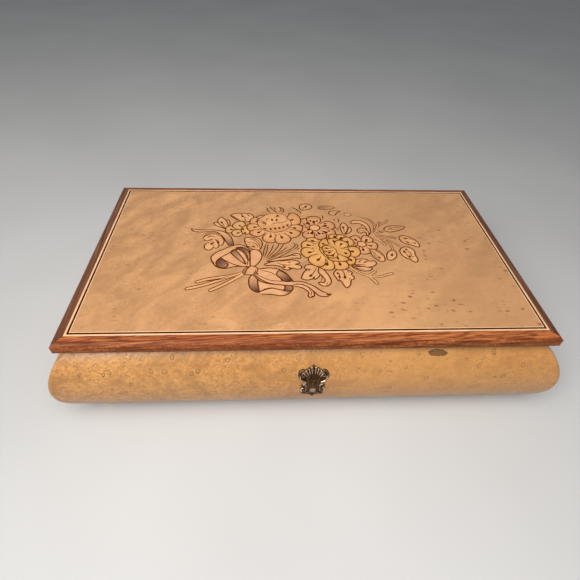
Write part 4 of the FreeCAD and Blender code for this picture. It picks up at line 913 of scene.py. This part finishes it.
def draw_flowers():
    # Pink
    root = (9.4, 26.6)
    for x, y, rx, ry in ((3, 34, 6, 5.6), (9.6, 36.6, 5.8, 6.2), (3, 24, 5.4, 5.6), (20, 29.8, 6.4, 5.6),
                         (19.4, 19.6, 6, 6), (6, 17.6, 6.6, 6.2), (13, 17.4, 5, 6)):
        petal("pink", root, x, y, rx, ry, mark=0.45)
        way = math.atan2(root[1] - y, root[0] - x)
        for swing in (-1.25, 1.25):
            drop(x + 2.9 * math.cos(way + swing), y + 2.9 * math.sin(way + swing), math.degrees(way), 2.3)
    heart(*root, 4.2, 4.0, 4, 0.1)
    # Peach
    area("peach", ring_of(-22.5, 28, 15, 14), 0.25)
    petals("peach", (-23, 31), 0.6, 0.3, 3.2, (-34, 40, 6, 3.4, 20), (-38.2, 35, 5, 5.4), (-7.4, 38, 6, 8.6),
           (-40, 27, 5.4, 5), (-5.8, 25.8, 5.4, 5.2), (-36.4, 19.8, 6.2, 4.4, 10), (-9.2, 19, 6.2, 5.4),
           (-26.8, 13.8, 5.6, 6.8), (-17.2, 12.6, 6.2, 6.8))
    patch("peach", (-37, 36), (-36, 29.4), (-31.4, 23.4), (-23, 20.4), (-15, 23), (-10.2, 29), (-9.4, 34.6),
          (-12.4, 41), (-17, 45.6), (-23, 47), (-29, 45.2), (-33.6, 41),
          shade=towards((-24, 33), (-24, 21), 0.15, 0.6), edge=0.7, steps=5)
    drops((-12.4, 30.2, 70, 2.7), (-15.8, 27.8, 75, 2.7), (-19.2, 26.4, 95, 2.7), (-22.8, 25.8, 115, 2.7),
          (-26.4, 25, 125, 2.7), (-31.2, 25.4, 150, 2.7))
    patch("peach", (-30.6, 34), (-32.6, 39), (-29, 44.6), (-23, 46.8), (-16.8, 45.2), (-12.6, 41),
          (-13, 36.6), (-17, 34), (-22, 33), (-26.4, 31), shade=around_spot((-20, 33.4), 6, 0.35), edge=0,
          steps=5)
    strokes(FINE, ((-26.4, 31), (-22, 33), (-17, 34), (-13, 36.6), (-12.6, 41)),
            ((-36, 35.4), (-33, 35.6), (-30.6, 33.6), (-30.4, 30.4), (-33, 28.6)),
            ((-29.8, 36), (-29.4, 38.6), (-27.4, 40)), ((-23, 40.4), (-20.4, 42.4), (-18.4, 41.4)))
    drops((-20.6, 43, -120, 2.7), (-25, 37.8, 110, 2.7), (-21.2, 37.8, 90, 2.7), (-32.4, 33, 170, 2.7),
          (-36.6, 37, -40, 2.6))
    # Yellow ochre
    area("yellow", ring_of(19, -2, 16, 14), 0.25)
    petals("yellow", (21, 0), 0.55, 0.15, 3.4, (6.4, 9.4, 5.4, 4), (24.4, 14.4, 5, 3.6), (29.4, 13, 4.4, 4.4),
           (33.6, 8.2, 5, 5.6), (36, -3.6, 6, 6.2), (2.4, 4.2, 5.4, 4.8), (2.6, -4.6, 6.2, 6),
           (33, -13.4, 3.6, 5.4), (24.4, -18.6, 6, 6), (14.6, -18.6, 5.8, 6), (8.4, -13.4, 6.6, 7))
    patch("yellow", (17.4, 12.4), (12.6, 6.4), (11, -1), (13.2, -7.4), (17.4, -13), (23, -15), (29, -13.4),
          (32.4, -10.4), (34, -5), (33, 1), (32.4, 6), (29, 10.6), (23.6, 12.8), shade=0.3, edge=0.8, steps=5)
    petals("yellow", (24, -1), 0.75, 0.0, 2.8, (23, 8.6, 5, 4.4), (28.2, 5, 5.4, 5),
           (14.8, 5.6, 3.6, 6.2, -14), (30, -5.4, 4, 5.4, 10), (23.8, -11.4, 7.6, 3.8, -6),
           (20.4, -8, 4.4, 3.2, 20), (18.4, -4.6, 4.6, 3.4, 15), (16.8, 0.2, 4, 3.6))
    patch("yellow", (20.6, 3), (23.6, 4.4), (26, 1), (28.6, -3), (29.6, -8), (26, -7.6), (23.4, -5.4),
          (23.6, -1.6), shade=0.38, edge=0, steps=4)
    line((20.4, 3), (23.4, -1.4), (24, -5.6), (28.6, -9), (32.4, -10.4), width=0.7)

draw_stems()
draw_leaves()
draw_right_side()
draw_lower_leaves()
draw_bow()
draw_flowers()

BURNT_TONES = ((0.35, (0.066, 0.014, 0.001)), (0.65, (0.125, 0.031, 0.003)))
lay_inlay(picture, {
    "leaf": inlay_wood("leaf_wood", (0.664, 0.347, 0.157), (0.590, 0.303, 0.136), (0.30, 0.110, 0.030)),
    "green": inlay_wood("green_wood", (0.625, 0.344, 0.142), (0.555, 0.300, 0.120), (0.26, 0.125, 0.030)),
    "yellow": inlay_wood("yellow_wood", (0.719, 0.375, 0.130), (0.637, 0.323, 0.103), (0.30, 0.110, 0.016)),
    "peach": inlay_wood("peach_wood", (0.704, 0.362, 0.155), (0.626, 0.310, 0.130), (0.32, 0.104, 0.022)),
    "pink": inlay_wood("pink_wood", (0.675, 0.340, 0.158), (0.605, 0.295, 0.135), (0.29, 0.082, 0.022)),
    "rose": inlay_wood("rose_wood", (0.570, 0.292, 0.142), (0.510, 0.252, 0.120), (0.28, 0.090, 0.026)),
    "silk": inlay_wood("silk_wood", (0.642, 0.332, 0.161), (0.567, 0.287, 0.137), (0.070, 0.020, 0.014), 1.0),
    "line": two_tone("burnt_line", 500.0, 2.0, 0.6, BURNT_TONES, rough=0.5, specular=0.02)})


# Escutcheon: a cast crest bent to the curve of the front, with a fan of rays, volutes and a shield

FRONT_BULGE, WIDEST = 9.1, 34.3            # how far the front stands out past the lid, and how high that is
RADIUS_ABOVE, RADIUS_BELOW = 35.0, 38.5    # of the front's curve, above and below its widest line


def front_point(x, z, lift):
    """A point of the front, in millimetres, lifted off the curved veneer."""
    radius = np.where(z > WIDEST, RADIUS_ABOVE, RADIUS_BELOW)
    deep = np.sqrt(radius ** 2 - (z - WIDEST) ** 2)
    reach = (radius + lift) / radius
    y = -LID_DEPTH / MM / 2 - FRONT_BULGE + radius - deep * reach
    return np.stack([x, y, WIDEST + (z - WIDEST) * reach], -1)


def arc_points(a, middle, b, count=8):
    """Points of the arc from a to b by way of its middle, with b left out."""
    (ax, az), (mx, mz), (bx, bz) = a, middle, b
    d = 2 * (ax * (mz - bz) + mx * (bz - az) + bx * (az - mz))
    sa, sm, sb = ax * ax + az * az, mx * mx + mz * mz, bx * bx + bz * bz
    cx = (sa * (mz - bz) + sm * (bz - az) + sb * (az - mz)) / d
    cz = (sa * (bx - mx) + sm * (ax - bx) + sb * (mx - ax)) / d
    first, mid, last = (math.atan2(z - cz, x - cx) for x, z in (a, middle, b))
    whole = (last - first) % (2 * math.pi)
    if (mid - first) % (2 * math.pi) > whole:
        whole -= 2 * math.pi
    r = math.hypot(ax - cx, az - cz)
    return [(cx + r * math.cos(first + whole * k / count), cz + r * math.sin(first + whole * k / count))
            for k in range(count)]


# Outline of the right half, from the top down: arcs given by their middle and their end
CREST_TOP = (0.0, 54.5)
CREST_ARCS = (((0.9, 54.2), (1.2, 53.4)), ((2.1, 53.5), (2.6, 52.9)), ((3.5, 53.0), (4.0, 52.3)),
              ((4.8, 52.2), (5.3, 51.5)), ((7.2, 52.1), (9.0, 51.1)), ((10.0, 48.8), (9.2, 46.4)),
              ((7.9, 44.8), (7.0, 43.0)), ((7.2, 41.4), (8.2, 39.9)), ((7.4, 39.5), (6.9, 38.8)),
              ((8.1, 37.4), (8.1, 35.6)), ((7.7, 34.5), (7.3, 33.8)), ((7.7, 32.3), (7.4, 30.9)),
              ((6.4, 30.4), (5.2, 30.2)), ((3.4, 30.3), (1.7, 29.5)), ((1.2, 28.1), (0.0, 27.5)))

# Raised lines of the right half: half width, height, how bright they are (rubbed brass and painted
# highlight), and points
CREST_RIDGES = (
    (0.62, 0.62, 0.13,
     ((5.0, 50.4), (6.6, 51.2), (8.4, 50.7), (9.4, 48.9), (9.2, 46.9), (8.0, 45.2), (6.4, 43.6))),
    (0.42, 0.52, 0.22, ((4.6, 49.0), (5.8, 49.8), (7.0, 49.4), (7.6, 48.2), (7.0, 47.2), (6.1, 47.4))),
    (0.50, 0.78, 1.00, ((8.6, 47.4), (8.5, 46.0), (7.7, 44.7), (6.3, 43.9), (4.9, 43.6))),
    (0.34, 0.50, 0.45, ((6.9, 42.5), (5.8, 42.3), (4.8, 42.5))),
    (0.38, 0.56, 0.55, ((6.6, 41.2), (5.4, 41.2), (4.4, 40.6), (4.0, 39.6))),
    (0.55, 0.55, 0.20, ((7.0, 42.2), (7.6, 40.6), (8.3, 39.6))),
    (0.36, 0.50, 0.45, ((4.9, 40.0), (4.6, 38.0), (4.7, 36.0), (5.2, 34.2))),
    (0.60, 0.66, 0.90, ((6.6, 38.0), (7.4, 37.6), (7.8, 36.4), (7.5, 35.0), (7.0, 33.9))),
    (0.34, 0.45, 0.30, ((6.3, 36.8), (6.1, 35.2), (6.3, 33.6))),
    (0.45, 0.60, 0.40, ((7.4, 32.8), (6.5, 32.0), (6.3, 30.9))),
    (0.40, 0.50, 0.22, ((1.4, 33.1), (3.2, 33.2), (4.7, 32.4))),
    (0.46, 0.64, 0.95, ((1.3, 30.4), (2.2, 30.2), (3.2, 29.5), (4.3, 29.4), (5.2, 30.0))),
    (0.30, 0.30, 0.10, ((2.6, 47.6), (3.6, 46.0), (3.3, 43.0), (3.1, 40.0), (3.3, 36.8), (3.0, 34.6))))

# Fan of rays: foot, tip, and half widths there
CREST_RAYS = (((0.95, 49.7), (1.35, 53.2), 0.30, 0.50), ((2.25, 49.4), (3.05, 52.1), 0.32, 0.52),
              ((3.45, 48.7), (4.85, 51.3), 0.32, 0.52), ((4.35, 47.6), (5.9, 49.1), 0.26, 0.34))

# Beads: place, radius, and how bright they are (rubbed brass and painted highlight)
CREST_BEADS = ((0.0, 53.8, 0.62, 0.15), (2.3, 53.0, 0.50, 0.15), (4.2, 52.0, 0.50, 0.15),
               (0.0, 51.3, 0.55, 0.10), (0.0, 28.4, 0.70, 0.60), (7.4, 30.6, 0.50, 0.30),
               (0.8, 43.3, 0.45, 0.45))


def crest_relief(x, z, rim):
    """Height above the veneer and how bright each spot is: rubbed brass and painted highlight."""
    side = np.abs(x)
    lift = np.full(x.shape, 0.34) + 0.14 * np.clip(rim / 0.5, 0, 1)
    raised, bright = np.zeros(x.shape), np.zeros(x.shape)

    def add(away, height, rub_and_highlight):
        form = np.sqrt(np.clip(1 - away ** 2, 0, 1))
        np.maximum(raised, height * form, out=raised)
        np.maximum(bright, rub_and_highlight * np.clip(form * 1.6 - 0.45, 0, 1), out=bright)

    def ridge(points, widths, height, rub_and_highlight):
        for (ax, az), (bx, bz), wa, wb in zip(points, points[1:], widths, widths[1:]):
            dx, dz = bx - ax, bz - az
            t = np.clip(((side - ax) * dx + (z - az) * dz) / (dx * dx + dz * dz), 0, 1)
            add(np.hypot(side - ax - t * dx, z - az - t * dz) / (wa + (wb - wa) * t), height, rub_and_highlight)

    def mound(z_middle, half_x, half_z):
        return np.clip(1 - (side / half_x) ** 2, 0, 1) * np.clip(1 - ((z - z_middle) / half_z) ** 2, 0, 1)

    for half, height, rub_and_highlight, points in CREST_RIDGES:
        path = smooth(points, steps=5).tolist()
        last = len(path) - 1
        taper = [half * (0.55 + 0.45 * min(1.0, 4 * min(k, last - k) / len(path))) for k in range(len(path))]
        ridge(path, taper, height, rub_and_highlight)
    # the rays are brightest: rubbed brass and painted highlight
    for foot, tip, thin, thick in CREST_RAYS:
        ridge((foot, tip), (thin, thick), 0.74, 1.0)
    for bx, bz, r, rub_and_highlight in CREST_BEADS:
        add(np.hypot(side - bx, z - bz) / r, 0.62, rub_and_highlight)
    raised = np.maximum(raised, 0.34 * mound(39.6, 3.0, 7.0) ** 0.6)
    # painted reflection: a bright patch on the shield below the keyhole
    bright = np.maximum(bright, mound(35.6, 2.2, 2.7) ** 0.7 * 0.55)
    return np.minimum(lift + raised, 1.26) * np.clip(0.35 + rim / 0.22, 0, 1), bright


def make_crest():
    """Rings of points from the keyhole out to the crest's outline, with a wall down at both."""
    half, here = [], CREST_TOP
    for middle, end in CREST_ARCS:
        half += arc_points(here, middle, end)
        here = end
    outline = half + [here] + [(-x, z) for x, z in reversed(half)]
    centre, turns, rings = 42.3, 480, 60
    eye, eye_radius, slot_foot, slot_half = 43.5, 1.5, 39.3, 0.65    # keyhole
    angles = np.linspace(-math.pi, math.pi, turns, endpoint=False)
    polar = sorted((math.atan2(z - centre, x), math.hypot(x, z - centre)) for x, z in outline)
    outer = np.interp(angles, [p[0] for p in polar], [p[1] for p in polar], period=2 * math.pi)
    steps = np.linspace(0.05, 4.2, 500)
    inner = []
    for a in angles:
        x, z = steps * math.cos(a), centre + steps * math.sin(a)
        round_hole = x ** 2 + (z - eye) ** 2 < eye_radius ** 2
        slot = (np.abs(x) < slot_half) & (z > slot_foot) & (z < eye)
        inner.append(steps[round_hole | slot].max())
    inner = np.array(inner)
    t = np.concatenate([np.linspace(0, 1, rings)[:-1], [0.992, 1.0]])
    radius = inner[None] + (outer - inner)[None] * t[:, None]
    x, z = radius * np.cos(angles)[None], centre + radius * np.sin(angles)[None]
    # worn holds each spot's brightness: rubbed brass and painted highlight
    lift, worn = crest_relief(x, z, outer[None] - radius)
    grids = [front_point(x[:1], z[:1], -0.7), front_point(x, z, lift), front_point(x[-1:], z[-1:], -0.05)]
    levels = np.vstack([worn[:1] * 0, worn, worn[-1:] * 0])
    points = np.vstack([g.reshape(-1, 3) for g in grids]) * MM
    faces = [(r * turns + k, (r + 1) * turns + k, (r + 1) * turns + n, r * turns + n)
             for r in range(len(levels) - 1) for k, n in enumerate([*range(1, turns), 0])]
    bronze = cast_bronze("cast_bronze")
    mesh = shaded_mesh("crest", points.tolist(), faces, bronze, "rub_and_highlight", levels.ravel().tolist())
    mesh.shade_smooth()
    piece = put("crest", mesh)
    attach(piece, "case")
    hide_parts("escutcheon")


make_crest()


# Velvet lining, dividers, ring rolls and the pad under the lid


def soft_block(low, high, round_off, cells, shape=None):
    """Points and faces of a box with rounded edges, in millimetres, bent by shape where it is given."""
    low, high = np.array(low, float), np.array(high, float)
    centre, half = (low + high) / 2, (high - low) / 2
    core = np.maximum(half - round_off, 0.0)
    lines = []
    for h, c, n in zip(half, core, cells):
        edge = [h, h - 0.12 * round_off, h - 0.35 * round_off, h - 0.65 * round_off]
        lines.append(np.array([-e for e in edge] + list(np.linspace(-c, c, n + 1)) + edge[::-1]))
    points, faces = [], []
    for axis in range(3):
        u, v = (axis + 1) % 3, (axis + 2) % 3
        for side in (-1, 1):
            a, b = np.meshgrid(lines[u], lines[v], indexing="ij")
            grid = np.zeros(a.shape + (3,))
            grid[..., axis] = side * half[axis]
            grid[..., u], grid[..., v] = a, b
            start, (m, n) = len(points), a.shape
            points.extend(grid.reshape(-1, 3))
            for i in range(m - 1):
                for j in range(n - 1):
                    k = start + i * n + j
                    quad = (k, k + n, k + n + 1, k + 1)
                    faces.append(quad if side > 0 else quad[::-1])
    points = np.array(points)
    near = np.clip(points, -core, core)
    away = points - near
    length = np.maximum(np.linalg.norm(away, axis=1), 1e-9)[:, None]
    points = near + away / length * np.minimum(round_off, length * 1e6)
    if shape:
        points = shape(points, half)
    return points + centre, faces


def soft_piece(name, blocks, node, body, material):
    """One soft piece of one or more rounded blocks."""
    points, faces = [], []
    for block_points, block_faces in blocks:
        faces += [tuple(k + len(points) for k in face) for face in block_faces]
        points += block_points.tolist()
    mesh = shaded_mesh(name, (np.array(points) * MM).tolist(), faces, material)
    weld = bmesh.new()
    weld.from_mesh(mesh)
    bmesh.ops.remove_doubles(weld, verts=weld.verts, dist=0.00002)
    bmesh.ops.recalc_face_normals(weld, faces=weld.faces)
    weld.to_mesh(mesh)
    weld.free()
    mesh.shade_smooth()
    piece = put(name, mesh)
    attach(piece, body)
    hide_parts(node)


def crowned(axis, way, rise, draw=0.0):
    """Crowns the face on one side of a pad and draws its edges in between the corners."""
    def shape(points, half):
        u, v = (axis + 1) % 3, (axis + 2) % 3
        a, b = points[:, u] / half[u], points[:, v] / half[v]
        points = points.copy()
        fall = rise * (1 - (1 - a ** 6) * (1 - b ** 6)) + rise * 0.35 * (a * a + b * b) / 2
        share = np.clip((points[:, axis] * way + half[axis]) / (2 * half[axis]), 0, 1)
        points[:, axis] -= way * fall * share
        points[:, u] *= 1 - draw / half[u] * (1 - b * b) * (0.3 + 0.7 * share)
        points[:, v] *= 1 - draw / half[v] * (1 - a * a) * (0.3 + 0.7 * share)
        return points
    return shape


def roll_shape(seed):
    """A ring roll: round on top, flat below, with ends that close in and slight swellings along it."""
    def shape(points, half):
        points = points.copy()
        x = points[:, 0] / half[0]
        up = np.clip((points[:, 2] + half[2]) / (2 * half[2]), 0, 1)
        swell = 0.18 * np.sin(5.1 * x + seed * 2.3) + 0.12 * np.sin(11.7 * x + seed * 4.1)
        end = np.clip(1 - (1 - np.abs(x)) / 0.045, 0, 1)
        points[:, 2] -= up * (0.35 + 2.2 * end ** 2 - swell * up)
        points[:, 1] *= 1 - (0.02 + 0.14 * end ** 2) * up
        points[:, 0] *= 1 - 0.006 * (1 - (points[:, 1] / half[1]) ** 2)
        return points
    return shape


def corners_of(node):
    """Low and high corner of a CAD node, in millimetres."""
    return [[c / MM for c in corner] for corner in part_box(node)]


def make_soft_pieces():
    (x0, y0, z0), (x1, y1, z1) = corners_of("wall_lining")
    thick = 2.0
    strips = (((x0 + thick, y0, z0), (x1 - thick, y0 + thick, z1), 1, 1),
              ((x0 + thick, y1 - thick, z0), (x1 - thick, y1, z1), 1, -1),
              ((x0, y0, z0), (x0 + thick, y1, z1), 0, 1), ((x1 - thick, y0, z0), (x1, y1, z1), 0, -1))
    blocks = [soft_block(low, high, 0.85, (24, 24, 8), crowned(axis, way, 0.3))
              for low, high, axis, way in strips]
    soft_piece("wall_velvet", blocks, "wall_lining", "case", wine)
    for name in ("long_divider", "bay_divider", "roll_divider"):
        block = soft_block(*corners_of(name), 1.9, (20, 20, 10))
        soft_piece(name + "_velvet", [block], name, "case", wine)
    (left, front, bottom), (right, back, top) = corners_of("floor_lining")
    bay, divider, roll = corners_of("bay_divider"), corners_of("long_divider"), corners_of("roll_divider")
    floors = (((left, front), (roll[0][0], divider[0][1])), ((roll[1][0], front), (right, divider[0][1])),
              ((bay[1][0], divider[1][1]), (right, back)))
    blocks = [soft_block((*low, bottom), (*high, top), 0.6, (24, 16, 1), crowned(2, 1, 0.35, 0.3))
              for low, high in floors]
    soft_piece("floor_velvet", blocks, "floor_lining", "case", wine)
    (left, front, bottom), (right, back, top) = corners_of("ring_rolls")
    count, gap = 7, 0.3
    pitch = (back - front + gap) / count
    blocks = []
    for k in range(count):
        y = front - gap / 2 + pitch * k
        low, high = (left, y + gap / 2, bottom), (right, y + pitch - gap / 2, top)
        blocks.append(soft_block(low, high, pitch / 2 - 0.16, (44, 2, 6), roll_shape(k)))
    soft_piece("ring_roll_velvet", blocks, "ring_rolls", "case", roll_velvet)
    pad = soft_block(*corners_of("lid_pad"), 0.9, (60, 36, 2), crowned(2, -1, 0.9, 1.2))
    soft_piece("lid_pad_velvet", [pad], "lid_pad", "lid", wine)


make_soft_pieces()


# Stage, light and camera


def make_stage():
    corners = [(-3, -3, 0), (3, -3, 0), (3, 3, 0), (-3, 3, 0)]
    greys = ((0.3, (0.49, 0.49, 0.49)), (0.7, (0.53, 0.53, 0.53)))
    paper = two_tone("floor_paper", 6.0, 2.0, 0.5, greys, rough=0.75)
    floor = put("floor", shaded_mesh("floor", corners, [(0, 1, 2, 3)], paper))


def soft_light(name, place, aim, size, watts, color=(1, 1, 1)):
    lamp = bpy.data.lights.new(name, "AREA")
    lamp.shape = "RECTANGLE"
    lamp.size, lamp.size_y = size
    lamp.energy = watts
    lamp.color = color
    piece = put(name, lamp)
    piece.location = place
    piece.rotation_euler = (Vector(aim) - Vector(place)).to_track_quat("-Z", "Y").to_euler()


def make_lights():
    world = bpy.data.worlds.new("studio")
    world.use_nodes = True
    sky = world.node_tree.nodes["Background"].inputs
    sky["Color"].default_value = (0.92, 0.96, 1.0, 1.0)
    sky["Strength"].default_value = 0.235
    bpy.context.scene.world = world
    bpy.context.scene.view_settings.view_transform = "Standard"
    soft_light("key", (-0.66, -0.70, 0.92), (0, -0.02, 0.04), (0.7, 0.7), 11.4, (1.0, 0.97, 0.92))
    soft_light("top", (-0.05, -0.26, 0.50), (0, -0.12, 0.04), (0.5, 0.35), 2.6, (1.0, 0.97, 0.94))
    soft_light("fill", (0.9, -0.35, 0.6), (0, 0, 0.04), (0.6, 0.6), 0.4)


def make_camera():
    """The photo's camera, as the perspective fit gives it. Its focal length is 400 pixels of 580 across."""
    lens = bpy.data.cameras.new("camera")
    lens.sensor_width = 36.0
    lens.sensor_fit = "HORIZONTAL"
    lens.lens = 36.0 * 400.0 / 580.0
    lens.clip_start = 0.01
    camera = put("camera", lens)
    place = Matrix.Translation((-0.02952, -0.23806, 0.26755))
    right = Vector((0.99833185, -0.04514326, 0.03599459))
    up = Vector((0.00649873, 0.70732529, 0.70685833))
    ahead = Vector((0.05736977, 0.70544526, -0.70643874))
    camera.matrix_world = place @ Matrix((right, up, -ahead)).transposed().to_4x4()
    bpy.context.scene.camera = camera


make_stage()
make_lights()
make_camera()
